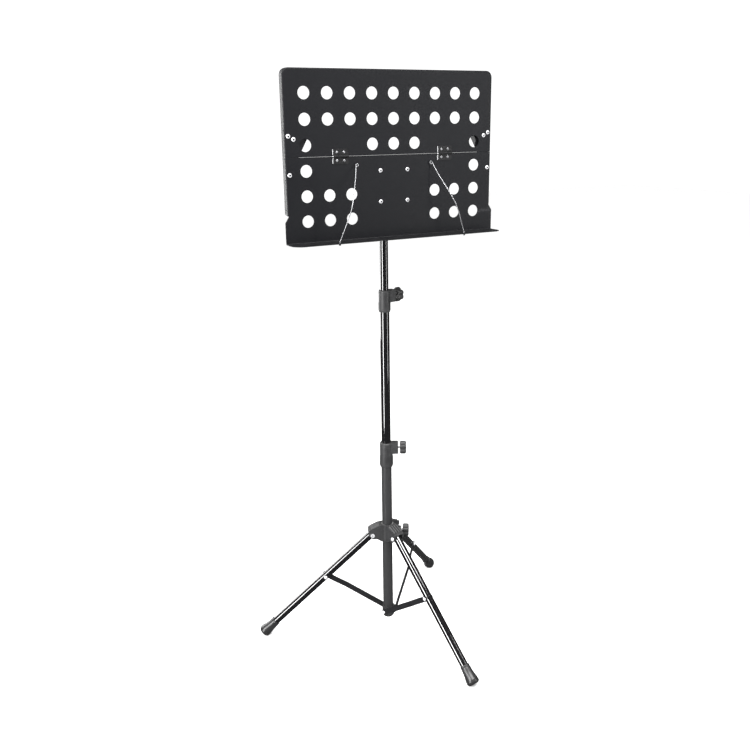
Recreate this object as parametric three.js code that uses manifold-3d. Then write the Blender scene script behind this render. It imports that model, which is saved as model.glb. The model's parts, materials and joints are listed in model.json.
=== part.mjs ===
// Folding orchestra music stand: perforated two-leaf desk, three-section mast and folding tripod.
// Millimetres, +Z up. The page side of the desk faces -Y. The origin is on the floor, at the middle
// of the stand's outline. Nested groups carry the joint frames, so a piece moves with its group.

import * as THREE from 'three';
import { mergeVertices } from 'three/addons/utils/BufferGeometryUtils.js';
import Module from 'manifold-3d';

const wasm = await Module();
wasm.setup();

// Gaps between pieces.
const seat = 0.3; // pieces that touch
const runGap = 0.4; // pins in their holes, tubes in their bushes

// Mast. Each section slides in the one below it.
const lowerTube = { radius: 12.5, wall: 1.1, bottom: 32, top: 487 };
const middleTube = { wall: 1.1, inserted: 92, length: 458 };
const upperTube = { wall: 1.1, inserted: 165, length: 380 };
const collarCap = 11; // height of a collar above its tube
const lowerCollar = { wall: 3.8, height: 62, azimuth: -28 };
const upperCollar = { wall: 2.9, height: 48, azimuth: 14 };
const collarStep = { ledge: 0.7, skirt: 0.55, taper: 5, chamfer: 1.5, ease: 2 };
const collarBoss = { reach: 28.5, width: 20, height: 27 };
const clampScrew = { radius: 3 };
const knob = { radius: 16.5, thickness: 15, standOff: 4, lobes: 6, lobeDepth: 2.4, blind: 4 };
const plug = { flange: 3, depth: 16, dome: 5 };
const spreader = { wall: 2.5, bottom: 33, height: 24, lugMargin: 2 };
const upperBush = { wall: 3.1, flange: 1.6 };

// Tripod.
const legCount = 3;
const firstLegAzimuth = 160;
const leg = { radius: 9.5, wall: 1.1, above: 5, endHeight: 7 };
const hub = { bottom: 243, height: 43, wing: 47, roofDrop: 13, roof: 3.6, cheek: 3.4, pocketGap: 0.6 };
const hubToe = { inset: 9, rise: 7 }; // the lower corner of a wing, from its end and the bottom
const hubBrow = { inset: 4, drop: 2 }; // the chamfer under its roof
const hubSkirt = 2; // the sleeve below the wings
const hubWeb = 6; // between the tube and a pocket
const hubBush = { wall: 2.1, depth: 20, lip: 1.2, housing: 2.2 };
const hubClamp = { azimuth: -31, rise: 25, boss: 34 };
const pivot = { radius: 38, rise: 17 };
const footCircle = 317; // from the mast axis to the end of each leg
const foot = { rim: 1.5, widest: 5.2, heel: 3.2, heelRise: 1.4, end: 0.1, length: 46, cover: 6 };
const footShare = { neck: 0.65, bulge: 0.23 }; // heights on the foot, of its length
const pivotBolt = { radius: 2.5, head: 4.6, headHeight: 2.4 };
const strut = { onLeg: 160, width: 13.5, thickness: 2.5, lowRadius: 4, lowRise: 10 };
const strutBend = { start: 26, end: 66 };
const rivet = { radius: 2, head: 3.9, headHeight: 1.8 };

// Desk. Its heights are from the tilt bolt.
const deskFront = -52; // front face, from the mast axis
const sheet = 1.2;
const desk = { width: 488, height: 340, boltRise: 108, lowerShare: 0.502 };
const hinge = { gap: 0.6, pinOffset: 2.6, pin: 1, barrel: 2.2, leaf: 1, width: 35, length: 30 };
const hingeAt = desk.width * 0.254;
const tray = { depth: 48, corner: 28, overhang: 6, wideTo: 44, flangeFrom: 56, flangeSlant: 3 };
const flange = 15;
const topCorner = 14;
const holes = { across: desk.width / 9.76, up: desk.height / 6.8, radius: 12.5, columns: 9 };
const topMargin = desk.height * 0.1368; // top edge to the first row
const holeRows = [
  [0, 1, 2, 3, 4, 5, 6, 7, 8],
  [0, 1, 2, 3, 4, 5, 6, 7, 8],
  [0, 3, 4, 5, 8],
  [0, 8],
  [0, 1, 2, 6, 7, 8],
  [0, 1, 2, 6, 7, 8],
];
const upperRows = 3; // the rows that the upper leaf carries

// Tilt head behind the desk.
const head = { wall: 3, length: 34, cap: 6, boltRise: 32, tongue: 20, nose: 12, root: 1.5 };
const bracket = {
  width: 86, height: 92, drop: 0.5, corner: 8, sheet: 2, ear: 13, spacing: 64.4, earHeight: 46,
};
const tiltBolt = { radius: 3, head: 5.5, headHeight: 4, knobGap: 2 };
const deskRivet = { radius: 2.4, head: 4.6, headHeight: 1.6, tail: 4, tailHeight: 1.2 };

// Stays that stop the upper leaf from falling back.
const stay = { sheet: 1.5, stand: 5, top: 48, width: 58, waist: 31, tail: 44, nose: 8, cut: 6, edgeGap: 0.8 };
const stayStud = { radius: 2.5, head: 4.8, headHeight: 1.6, inset: 8, below: 34, tail: 1.2 };
const stayRivets = [{ inset: 8, above: 41 }, { inset: 19, above: 35 }];
const stayPad = 4.6;

// Page-holder wires.
const wire = { radius: 1, inset: 5, below: 4.6, upright: 8, eye: 3.6 };
const wireAt = desk.width * 0.3074;
const wireBends = [
  { inward: 26, forward: -4.6, above: 67.5 },
  { inward: 55, forward: 31, above: 137 },
  { inward: 59, forward: 39, above: 152 },
];
const wireNut = { radius: 2.8, height: 2.4, sides: 6 };

// Sizes that follow from those above.
middleTube.radius = lowerTube.radius - lowerTube.wall - runGap;
middleTube.bottom = lowerTube.top - middleTube.inserted;
middleTube.top = middleTube.bottom + middleTube.length;
upperTube.radius = middleTube.radius - middleTube.wall - runGap;
upperTube.bottom = middleTube.top - upperTube.inserted;
upperTube.top = upperTube.bottom + upperTube.length;
const tiltAxis = upperTube.top + head.boltRise;
const spreaderRadius = lowerTube.radius + spreader.wall;
const hubTop = hub.bottom + hub.height;
const bushRadius = lowerTube.radius + hubBush.wall;
const hubSleeve = bushRadius + hubBush.housing;
const hubPocketWidth = 2 * (leg.radius + hub.pocketGap);
const hubWingWidth = hubPocketWidth + 2 * hub.cheek;
const hubClampHeight = hub.bottom + hubClamp.rise;
const pivotHeight = hub.bottom + pivot.rise;
const wireForward = tray.depth - wire.inset;
const trayHalf = desk.width / 2 + tray.overhang;

// Finishes.
const finish = (color, roughness, metalness) => ({ color, roughness, metalness });
const glossTube = finish(0x0c0c0e, 0.12, 0.3);
const satinTube = finish(0x303032, 0.4, 0.3);
const plastic = finish(0x1b1b1c, 0.5, 0);
const powder = finish(0x202124, 0.6, 0.1);
const blackSteel = finish(0x151517, 0.35, 0.4);
const bright = finish(0xc9c9cc, 0.22, 1);
const rubber = finish(0x3a3a3b, 0.75, 0);

const degrees = Math.PI / 180;

// Solids. Every helper gives a closed geometry, and join and cut combine them.

function solidOf(geometry) {
  const plain = new THREE.BufferGeometry();
  const source = geometry.index ? geometry.toNonIndexed() : geometry;
  plain.setAttribute('position', source.getAttribute('position'));
  const merged = mergeVertices(plain, 1e-4);
  const mesh = { numProp: 3, vertProperties: merged.attributes.position.array };
  mesh.triVerts = new Uint32Array(merged.index.array);
  return new wasm.Manifold(new wasm.Mesh(mesh));
}

function geometryOf(solid) {
  const mesh = solid.getMesh();
  const geometry = new THREE.BufferGeometry();
  geometry.setAttribute('position', new THREE.BufferAttribute(mesh.vertProperties, 3));
  geometry.setIndex(new THREE.BufferAttribute(mesh.triVerts, 1));
  return geometry;
}

const join = (...parts) => geometryOf(parts.map(solidOf).reduce((a, b) => a.add(b)));
const cut = (body, ...tools) => geometryOf([body, ...tools].map(solidOf).reduce((a, b) => a.subtract(b)));
const common = (a, b) => geometryOf(solidOf(a).intersect(solidOf(b)));

// A bar along Z.
function rod(radius, from, to, sides = 16) {
  const bar = new THREE.CylinderGeometry(radius, radius, to - from, sides);
  return bar.rotateX(Math.PI / 2).translate(0, 0, (from + to) / 2);
}

// A turned piece about Z. The profile lists [radius, z] clockwise round the section, from its top.
function turned(profile, sides = 20) {
  const points = profile.map(([r, z]) => new THREE.Vector2(r, z)).reverse();
  if (profile.some(([r]) => r === 0) === false) points.push(points[0].clone());
  return new THREE.LatheGeometry(points, sides).rotateX(Math.PI / 2);
}

const pipe = (outer, inner, from, to, sides) =>
  turned([[inner, to], [outer, to], [outer, from], [inner, from]], sides);

function block(width, depth, height) {
  return new THREE.BoxGeometry(width, depth, height);
}

// A flat outline given as [x, y] corners.
function outline(corners) {
  return new THREE.Shape(corners.map(([x, y]) => new THREE.Vector2(x, y)));
}

function extruded(shape, depth, segments = 5) {
  return new THREE.ExtrudeGeometry(shape, { depth, bevelEnabled: false, curveSegments: segments });
}

// An X-Z outline as a sheet whose front face looks along -Y, from y = back forward.
const upright = (shape, thickness, back, segments) =>
  extruded(shape, thickness, segments).rotateX(Math.PI / 2).translate(0, back, 0);

// A Y-Z outline extruded along X, centred on x = middle.
function sideways(shape, thickness, middle = 0) {
  const turn = new THREE.Matrix4().makeBasis(
    new THREE.Vector3(0, 1, 0), new THREE.Vector3(0, 0, 1), new THREE.Vector3(1, 0, 0));
  return extruded(shape, thickness).applyMatrix4(turn).translate(middle - thickness / 2, 0, 0);
}

// A rod along X, from x = from to x = to, through y, z.
const crossRod = (radius, from, to, y = 0, z = 0, sides = 12) =>
  rod(radius, from, to, sides).rotateY(Math.PI / 2).translate(0, y, z);

// A rod along Y, towards -Y from y = back to y = front, through x, z.
const forwardRod = (radius, back, front, x = 0, z = 0, sides = 14) =>
  rod(radius, -back, -front, sides).rotateX(Math.PI / 2).translate(x, 0, z);

function roundedRect(shapeWidth, bottom, top, corner) {
  const half = shapeWidth / 2;
  const shape = new THREE.Shape();
  shape.moveTo(-half, bottom);
  shape.lineTo(half, bottom);
  shape.lineTo(half, top - corner);
  shape.absarc(half - corner, top - corner, corner, 0, Math.PI / 2, false);
  shape.lineTo(-half + corner, top);
  shape.absarc(-half + corner, top - corner, corner, Math.PI / 2, Math.PI, false);
  return shape;
}

// A bar with round ends, from the origin to [length, 0].
function stadium(length, width) {
  const shape = new THREE.Shape();
  shape.absarc(length, 0, width / 2, -Math.PI / 2, Math.PI / 2, false);
  shape.absarc(0, 0, width / 2, Math.PI / 2, 1.5 * Math.PI, false);
  return shape;
}

// A wire along a smooth curve through the points.
function bentWire(points, radius, steps, sides = 8) {
  const path = new THREE.CatmullRomCurve3(points, false, 'catmullrom', 0.25);
  const section = new THREE.Shape();
  section.absarc(0, 0, radius, 0, 2 * Math.PI, false);
  const settings = { extrudePath: path, steps, curveSegments: sides, bevelEnabled: false };
  return new THREE.ExtrudeGeometry(section, settings);
}

const stand = new THREE.Group();
stand.name = 'music_stand';

// Adds a named piece to a group.
function piece(group, name, geometry, look) {
  const mesh = new THREE.Mesh(geometry, new THREE.MeshStandardMaterial(look));
  mesh.name = name;
  group.add(mesh);
  return mesh;
}

// Adds a named frame to a group: its origin is a joint's point.
function frame(parent, name, x = 0, y = 0, z = 0) {
  const group = new THREE.Group();
  group.name = name;
  group.position.set(x, y, z);
  parent.add(group);
  return group;
}


// Mast: lower section, with the spreader collar and the clamp collar fixed on it.

// A hole for a clamp screw, from the axis out through one side.
const screwHole = (z, azimuth) =>
  crossRod(clampScrew.radius + runGap, 0, 2 * collarBoss.reach, 0, z).rotateZ(azimuth * degrees);

function lowerTubePiece() {
  const { radius, wall, bottom, top } = lowerTube;
  return cut(pipe(radius, radius - wall, bottom, top),
    screwHole(collarMiddle(lowerTube), lowerCollar.azimuth));
}

// The height of the clamp screw in the collar of a tube.
function collarMiddle(tube) {
  return tube.top + collarCap - collarBoss.height / 2;
}

// A clamp collar: a stepped sleeve with a boss for the screw. It covers the outer tube and closes
// over its end with a lip, bored for the inner piece.
function clampCollar(collar, tube, lipRadius) {
  const { ledge, skirt, taper, chamfer, ease } = collarStep;
  const radius = tube.radius + collar.wall;
  const top = tube.top + collarCap;
  const bottom = top - collar.height;
  const bore = tube.radius + seat;
  const shoulder = top - collar.height * skirt;
  const body = turned([
    [lipRadius, top], [radius - ledge - chamfer, top], [radius - ledge, top - ease],
    [radius - ledge, shoulder], [radius, shoulder - ledge], [radius, bottom + taper],
    [bore + ledge, bottom], [bore, bottom], [bore, tube.top + seat], [lipRadius, tube.top + seat],
  ]);
  const boss = block(collarBoss.reach, collarBoss.width, collarBoss.height)
    .translate(collarBoss.reach / 2, 0, collarMiddle(tube));
  const shaped = cut(boss, rod(bore + seat, bottom, top + collarCap, 20));
  return cut(join(body, shaped).rotateZ(collar.azimuth * degrees),
    screwHole(collarMiddle(tube), collar.azimuth));
}

// A lobed hand knob, along +X from its seat at x = start.
function knobPiece(start) {
  const { radius, thickness, lobes, lobeDepth } = knob;
  const corners = [];
  const steps = lobes * 4;
  for (let i = 0; i < steps; i += 1) {
    const angle = (i / steps) * 2 * Math.PI;
    const r = radius - (lobeDepth * (1 + Math.cos(lobes * angle))) / 2;
    corners.push([r * Math.cos(angle), r * Math.sin(angle)]);
  }
  const disc = extruded(outline(corners), thickness).rotateY(Math.PI / 2).translate(start, 0, 0);
  const socket = crossRod(clampScrew.radius + seat, start - 1, start + thickness - knob.blind);
  return cut(disc, socket);
}

// The screw of a hand knob ends inside the knob.
const screwEnd = knob.thickness - knob.blind - seat; // from the knob's seat

// A knob with its screw in its own frame, pointing away from the mast.
function handScrew(parent, name, azimuth, height, tip, boss) {
  const turnFrame = frame(parent, `${name}_turn`, 0, 0, height);
  turnFrame.rotation.z = azimuth * degrees;
  const start = boss + knob.standOff;
  piece(turnFrame, `${name}_knob`, knobPiece(start), plastic);
  piece(turnFrame, `${name}_screw`, crossRod(clampScrew.radius, tip, start + screwEnd), bright);
}

function plugPiece() {
  const { radius, wall, bottom } = lowerTube;
  const inner = radius - wall - seat;
  return turned([
    [0, bottom + plug.depth], [inner, bottom + plug.depth], [inner, bottom - seat],
    [radius, bottom - seat], [radius, bottom - plug.flange], [radius / 2, bottom - plug.dome],
    [0, bottom - plug.dome],
  ]);
}

// The spreader collar: a ring on the lower tube with a flat lug beside it for each strut.
function spreaderPiece() {
  const { bottom, height, lugMargin } = spreader;
  let ring = rod(spreaderRadius, bottom, bottom + height, 20);
  for (let i = 0; i < legCount; i += 1) {
    const lug = block(strut.width + lugMargin, spreaderRadius, height - 2 * lugMargin)
      .translate(strut.lowRadius, -spreaderRadius / 2, bottom + height / 2)
      .rotateZ(legAzimuth(i));
    ring = join(ring, lug);
  }
  return cut(ring, rod(lowerTube.radius + seat, bottom - 1, bottom + height + 1, 20));
}

function legAzimuth(index) {
  return (firstLegAzimuth + (index * 360) / legCount) * degrees;
}

const mast = frame(stand, 'mast');
piece(mast, 'lower_tube', lowerTubePiece(), satinTube);
piece(mast, 'end_plug', plugPiece(), plastic);
piece(mast, 'spreader_collar', spreaderPiece(), plastic);
piece(mast, 'lower_collar', clampCollar(lowerCollar, lowerTube, middleTube.radius + runGap), plastic);
handScrew(mast, 'lower_clamp', lowerCollar.azimuth, collarMiddle(lowerTube), middleTube.radius + seat,
  collarBoss.reach);

// Middle section, which slides in the lower one.

const middleSlide = frame(mast, 'middle_slide');

function middleTubePiece() {
  const { radius, wall, bottom, top } = middleTube;
  return cut(pipe(radius, radius - wall, bottom, top),
    screwHole(collarMiddle(middleTube), upperCollar.azimuth));
}

piece(middleSlide, 'middle_tube', middleTubePiece(), glossTube);
piece(middleSlide, 'upper_collar', clampCollar(upperCollar, middleTube, middleTube.radius), plastic);
handScrew(middleSlide, 'upper_clamp', upperCollar.azimuth, collarMiddle(middleTube),
  upperTube.radius + seat, collarBoss.reach);

// The bush in the mouth of the upper collar turns with the desk.
const mouth = middleTube.top + collarCap;
const swivel = frame(middleSlide, 'desk_swivel', 0, 0, mouth);
const bushPiece = pipe(upperTube.radius + upperBush.wall, upperTube.radius + runGap / 2, seat,
  upperBush.flange + seat, 20);
piece(swivel, 'upper_bush', bushPiece, plastic);

// Upper section, with the tilt head on top.

const upperSlide = frame(swivel, 'upper_slide', 0, 0, -mouth);
piece(upperSlide, 'upper_tube',
  pipe(upperTube.radius, upperTube.radius - upperTube.wall, upperTube.bottom, upperTube.top), glossTube);

// The tilt head: a socket on the tube with a round-nosed tongue for the tilt bolt.
function headPiece() {
  const { wall, length, cap, tongue, nose, root } = head;
  const socket = upperTube.radius + wall;
  const shoulder = upperTube.top + cap;
  const barrel = rod(socket, shoulder - length, shoulder, 20);
  const side = new THREE.Shape();
  side.moveTo(-nose, shoulder - cap / 2);
  side.lineTo(nose, shoulder - cap / 2);
  side.lineTo(nose, tiltAxis);
  side.absarc(0, tiltAxis, nose, 0, Math.PI, false);
  const blade = sideways(side, tongue);
  const collar = rod(socket, shoulder - 2 * cap, shoulder + root, 20);
  const tubeBore = rod(upperTube.radius + seat, shoulder - length - 1, upperTube.top + seat, 20);
  const boltHole = crossRod(tiltBolt.radius + runGap, -2 * tongue, 2 * tongue, 0, tiltAxis);
  return cut(join(barrel, blade, collar), tubeBore, boltHole);
}

piece(upperSlide, 'tilt_head', headPiece(), plastic);

const earOffset = head.tongue / 2 + seat; // inner face of each ear
const earOuter = earOffset + bracket.sheet;
const tiltKnobStart = earOuter + tiltBolt.knobGap;

function tiltBoltPiece() {
  const shank = crossRod(tiltBolt.radius, -earOuter - 1, tiltKnobStart + screwEnd, 0, tiltAxis);
  const cap = crossRod(tiltBolt.head, -earOuter - seat - tiltBolt.headHeight, -earOuter - seat,
    0, tiltAxis, 24);
  return join(shank, cap);
}

piece(upperSlide, 'tilt_bolt', tiltBoltPiece(), bright);
const tiltKnobFrame = frame(upperSlide, 'tilt_knob_turn', 0, 0, tiltAxis);
piece(tiltKnobFrame, 'tilt_knob', knobPiece(tiltKnobStart), plastic);

// Desk, tilting on the bolt. Heights in the desk's frame are from the tilt axis.

const deskTilt = frame(upperSlide, 'desk_tilt', 0, 0, tiltAxis);
const deskBack = deskFront + sheet;
const trayTop = -desk.boltRise;
const hingeLine = trayTop + desk.height * desk.lowerShare;
const deskTop = trayTop + desk.height;
const firstRow = deskTop - topMargin;
const pinY = deskFront - hinge.pinOffset;
const leftRight = [{ side: -1, label: 'left' }, { side: 1, label: 'right' }];

// The drilled holes of some rows, as rods through the sheet.
function perforations(from, to) {
  const drills = [];
  for (let row = from; row < to; row += 1) {
    for (const column of holeRows[row]) {
      const x = (column - (holes.columns - 1) / 2) * holes.across;
      const z = firstRow - row * holes.up;
      drills.push(forwardRod(holes.radius, deskBack + 1, deskFront - 1, x, z));
    }
  }
  return drills;
}

const studX = (side) => side * (desk.width / 2 - stayStud.inset);
const studZ = hingeLine - stayStud.below;
const rivetHoles = (spots, radius) =>
  spots.map(([x, z]) => forwardRod(radius, deskBack + 1, deskFront - 1, x, z, 8));
const bracketSpots = [-1, 1].flatMap((i) => [-1, 1].map((j) =>
  [(i * bracket.spacing) / 2, (j * bracket.spacing) / 2 - bracket.drop]));

// Lower leaf: the face, its side flanges and the tray, folded from one sheet.
function lowerLeafPiece() {
  const half = desk.width / 2;
  const top = hingeLine - hinge.gap / 2;
  const wideTo = trayTop + tray.wideTo;
  const flangeFrom = trayTop + tray.flangeFrom;
  const face = upright(outline([
    [-trayHalf, trayTop], [trayHalf, trayTop], [trayHalf, wideTo], [half, flangeFrom], [half, top],
    [-half, top], [-half, flangeFrom], [-trayHalf, wideTo],
  ]), sheet, deskBack);
  const flangeSide = outline([
    [deskFront, flangeFrom], [deskBack + flange, flangeFrom + tray.flangeSlant],
    [deskBack + flange, top], [deskFront, top],
  ]);
  const sides = [-1, 1].map((side) => sideways(flangeSide, sheet, side * (half - sheet / 2)));
  const ledge = new THREE.Shape();
  ledge.moveTo(-trayHalf, deskBack);
  ledge.lineTo(-trayHalf, deskFront - tray.depth + tray.corner);
  ledge.absarc(-trayHalf + tray.corner, deskFront - tray.depth + tray.corner, tray.corner,
    Math.PI, 1.5 * Math.PI, false);
  ledge.absarc(trayHalf - tray.corner, deskFront - tray.depth + tray.corner, tray.corner,
    1.5 * Math.PI, 2 * Math.PI, false);
  ledge.lineTo(trayHalf, deskBack);
  const trayPlate = extruded(ledge, sheet, 6).translate(0, 0, trayTop - sheet);
  const wireHoles = leftRight.map(({ side }) => rod(wire.radius + runGap, -2 * sheet, 2 * sheet, 12)
    .translate(side * wireAt, deskFront - wireForward, trayTop));
  const studHoles = rivetHoles([[studX(-1), studZ], [studX(1), studZ]], stayStud.radius + seat);
  const joined = join(face, ...sides, trayPlate, block(2 * trayHalf, sheet, 2 * sheet)
    .translate(0, deskFront + sheet / 2, trayTop));
  return cut(joined, ...perforations(upperRows, holeRows.length), ...wireHoles, ...studHoles,
    ...rivetHoles(bracketSpots, deskRivet.radius + seat));
}

// Upper leaf: the face with a flange folded back round its top and sides.
function upperLeafPiece() {
  const bottom = hingeLine + hinge.gap / 2;
  const outer = upright(roundedRect(desk.width, bottom, deskTop, topCorner), sheet + flange,
    deskBack + flange);
  const hollow = upright(roundedRect(desk.width - 2 * sheet, bottom - 1, deskTop - sheet,
    topCorner - sheet), flange + 1, deskBack + flange + 1);
  return cut(cut(outer, hollow), ...perforations(0, upperRows));
}

piece(deskTilt, 'lower_desk', lowerLeafPiece(), powder);

// The bracket behind the lower leaf: a plate with two ears that straddle the tilt head.
function bracketPiece() {
  const { width, height, drop, corner, sheet: gauge, ear, earHeight } = bracket;
  const back = deskBack + seat + gauge;
  const plate = upright(roundedRect(width, -drop - height / 2, height / 2 - drop, corner), gauge, back);
  const side = new THREE.Shape();
  side.moveTo(back - gauge, -earHeight / 2);
  side.lineTo(0, -ear);
  side.absarc(0, 0, ear, -Math.PI / 2, Math.PI / 2, false);
  side.lineTo(back - gauge, earHeight / 2);
  const ears = [-1, 1].map((s) => sideways(side, gauge, s * (earOffset + gauge / 2)));
  const boltHole = crossRod(tiltBolt.radius + runGap, -width / 2, width / 2);
  const rivets = bracketSpots.map(([x, z]) =>
    forwardRod(deskRivet.radius + seat, back + 1, back - gauge - 1, x, z, 8));
  return cut(join(plate, ...ears), boltHole, ...rivets);
}

piece(deskTilt, 'tilt_bracket', bracketPiece(), blackSteel);

// The outline of a domed head, from its crown to its seat.
const domeProfile = (radius, height) => [
  [0, height], [radius * 0.6, height * 0.85], [radius, height * 0.25], [radius, 0],
];

// A domed rivet through sheets, with its head in front and its tail behind.
function rivetPiece(shank, headRadius, headHeight, frontY, backY) {
  const dome = turned([
    ...domeProfile(headRadius, headHeight), [0, 0],
  ], 10).rotateX(Math.PI / 2).translate(0, frontY - seat, 0);
  return join(dome, forwardRod(shank, backY, frontY - seat - headHeight / 4, 0, 0, 10));
}

bracketSpots.forEach(([x, z], index) => {
  const backY = deskBack + seat + bracket.sheet + seat;
  const tail = forwardRod(deskRivet.tail, backY + deskRivet.tailHeight, backY, 0, 0, 10);
  const body = join(rivetPiece(deskRivet.radius, deskRivet.head, deskRivet.headHeight, deskFront,
    backY + deskRivet.tailHeight / 2), tail);
  piece(deskTilt, `bracket_rivet_${index + 1}`, body.translate(x, 0, z), bright);
});

// Butt hinges on the page side. The upper leaf carries the outer knuckles, the lower the middle one.
const knuckle = hinge.width / 3;
const hingeFold = frame(deskTilt, 'desk_fold', 0, pinY, hingeLine);

function hingeLeaf(up, x) {
  const { barrel, leaf, length, width, pinOffset } = hinge;
  const plateBack = pinOffset - seat; // behind the pin axis
  const clear = barrel + 2 * seat;
  const from = up ? clear : -length / 2;
  const to = up ? length / 2 : -clear;
  const plate = block(width, leaf, to - from).translate(0, plateBack - leaf / 2, (from + to) / 2);
  const spots = up ? [-1, 1] : [0];
  const parts = spots.flatMap((k) => {
    const half = knuckle / 2 - seat / 2;
    const roll = crossRod(barrel, k * knuckle - half, k * knuckle + half, 0, 0, 12);
    const reach = up ? to : -from;
    const web = block(2 * half, leaf, reach).translate(k * knuckle, plateBack - leaf / 2,
      ((up ? 1 : -1) * reach) / 2);
    return [roll, web];
  });
  const bore = crossRod(hinge.pin + seat, -width, width, 0, 0, 10);
  return cut(join(plate, ...parts), bore).translate(x, 0, 0);
}

leftRight.forEach(({ side, label }) => {
  const x = side * hingeAt;
  const lower = hingeLeaf(false, x).translate(0, pinY, hingeLine);
  piece(deskTilt, `${label}_hinge_lower_leaf`, lower, blackSteel);
  piece(hingeFold, `${label}_hinge_upper_leaf`, hingeLeaf(true, x), blackSteel);
  const reach = hinge.width / 2 + hinge.pin;
  const pinBar = crossRod(hinge.pin, x - reach, x + reach, pinY, hingeLine, 12);
  piece(deskTilt, `${label}_hinge_pin`, pinBar, bright);
});
piece(hingeFold, 'upper_desk', upperLeafPiece().translate(0, -pinY, -hingeLine), powder);

// Stays: plates riveted to the upper leaf, slotted over a stud on the lower leaf.
function stayPiece(side) {
  const x1 = desk.width / 2;
  const x0 = x1 - sheet - stay.edgeGap; // outer edge, beside the flange
  const noseX = x1 - stayStud.inset - stay.nose;
  const shape = outline([
    [x0, stay.top], [x1 - stay.width, stay.top], [x1 - stay.waist, 0], [noseX, stay.cut - stay.tail],
    [noseX + stay.cut, -stay.tail], [x0, -stay.tail],
  ]);
  const back = deskBack + stay.stand + stay.sheet;
  const plate = upright(shape, stay.sheet, back);
  const pads = stayRivets.map(({ inset, above }) =>
    forwardRod(stayPad, back - stay.sheet / 2, deskBack + seat, x1 - inset, above, 16));
  const slot = block(2 * (stayStud.radius + runGap), 20, stay.tail).translate(
    x1 - stayStud.inset, deskBack + stay.stand, -stayStud.below - stay.tail / 2);
  const slotEnd = forwardRod(stayStud.radius + runGap, back + 1, deskBack, x1 - stayStud.inset,
    -stayStud.below, 16);
  const right = cut(join(plate, ...pads), slot, slotEnd);
  return side > 0 ? right : mirrored(right);
}

// The mirror image in X, with its faces still outwards.
function mirrored(geometry) {
  const copy = geometry.clone().scale(-1, 1, 1);
  const index = copy.index.array;
  for (let i = 0; i < index.length; i += 3) {
    [index[i + 1], index[i + 2]] = [index[i + 2], index[i + 1]];
  }
  return copy;
}

leftRight.forEach(({ side, label }) => {
  piece(hingeFold, `${label}_stay`, stayPiece(side).translate(0, -pinY, 0), blackSteel);
  const stud = rivetPiece(stayStud.radius, stayStud.head, stayStud.headHeight, deskFront,
    deskBack + stay.stand + stay.sheet + stayStud.tail);
  piece(deskTilt, `${label}_stay_stud`, stud.translate(studX(side), 0, studZ), bright);
});

// Page-holder wires, each standing in a hole near the front of the tray and ending in a small eye.
function wirePiece() {
  const points = [-wire.below, 0, wire.upright].map((z) => new THREE.Vector3(0, 0, z));
  for (const { inward, forward, above } of wireBends) points.push(new THREE.Vector3(-inward, forward, above));
  const last = points[points.length - 1];
  const eyeSteps = 8;
  for (let i = 1; i <= eyeSteps; i += 1) {
    const angle = (i / eyeSteps) * 1.7 * Math.PI;
    points.push(new THREE.Vector3(last.x - wire.eye * (1 - Math.cos(angle)), last.y,
      last.z + wire.eye * Math.sin(angle)));
  }
  return geometryOf(solidOf(bentWire(points, wire.radius, 34, 3)));
}

leftRight.forEach(({ side, label }) => {
  const swing = frame(deskTilt, `${label}_wire_swing`, side * wireAt, deskFront - wireForward, trayTop);
  const bar = wirePiece();
  piece(swing, `${label}_page_wire`, side > 0 ? bar : mirrored(bar), bright);
  const nutTop = -sheet - seat;
  piece(swing, `${label}_wire_nut`,
    pipe(wireNut.radius, wire.radius + seat, nutTop - wireNut.height, nutTop, wireNut.sides), blackSteel);
});

// Tripod: the hub slides on the lower tube, the legs fold on it, and a strut joins each leg to the
// spreader collar.

const legDrop = pivotHeight - leg.endHeight;
const legReach = footCircle - pivot.radius;
const legAngle = Math.atan2(legReach, legDrop); // from the vertical
const legLength = Math.hypot(legReach, legDrop);
const strutTop = {
  radius: pivot.radius + strut.onLeg * Math.sin(legAngle),
  height: pivotHeight - strut.onLeg * Math.cos(legAngle),
};
const strutRun = strutTop.radius - strut.lowRadius;
const strutDrop = strutTop.height - spreader.bottom - strut.lowRise;
const strutAngle = Math.atan2(strutRun, strutDrop);
const strutLength = Math.hypot(strutRun, strutDrop);
const legSide = leg.radius + seat; // inner face of a strut beside its leg
const mastSide = spreaderRadius + seat; // and beside the spreader collar

const hubSlide = frame(mast, 'hub_slide');

// One wing of the hub, along +X, before its pocket is cut.
function hubWing() {
  const { bottom, wing, roofDrop } = hub;
  const eave = hubTop - roofDrop;
  const side = outline([
    [0, bottom], [hubSleeve, bottom], [wing - hubToe.inset, bottom + hubToe.rise],
    [wing, bottom + hubToe.rise + hubToe.inset], [wing, eave],
    [wing - hubBrow.inset, eave + hubBrow.drop], [hubSleeve, hubTop], [0, hubTop],
  ]);
  return upright(side, hubWingWidth, hubWingWidth / 2);
}

function hubPocket() {
  const { bottom, wing, roofDrop, roof } = hub;
  const inner = lowerTube.radius + hubWeb;
  const below = bottom - hubSkirt - 1;
  const slope = roofDrop / (wing - hubSleeve);
  const past = wing + 1;
  const side = outline([
    [inner, below], [past, below], [past, hubTop - roof - (past - hubSleeve) * slope],
    [inner, hubTop - roof],
  ]);
  return upright(side, hubPocketWidth, hubPocketWidth / 2);
}

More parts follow.
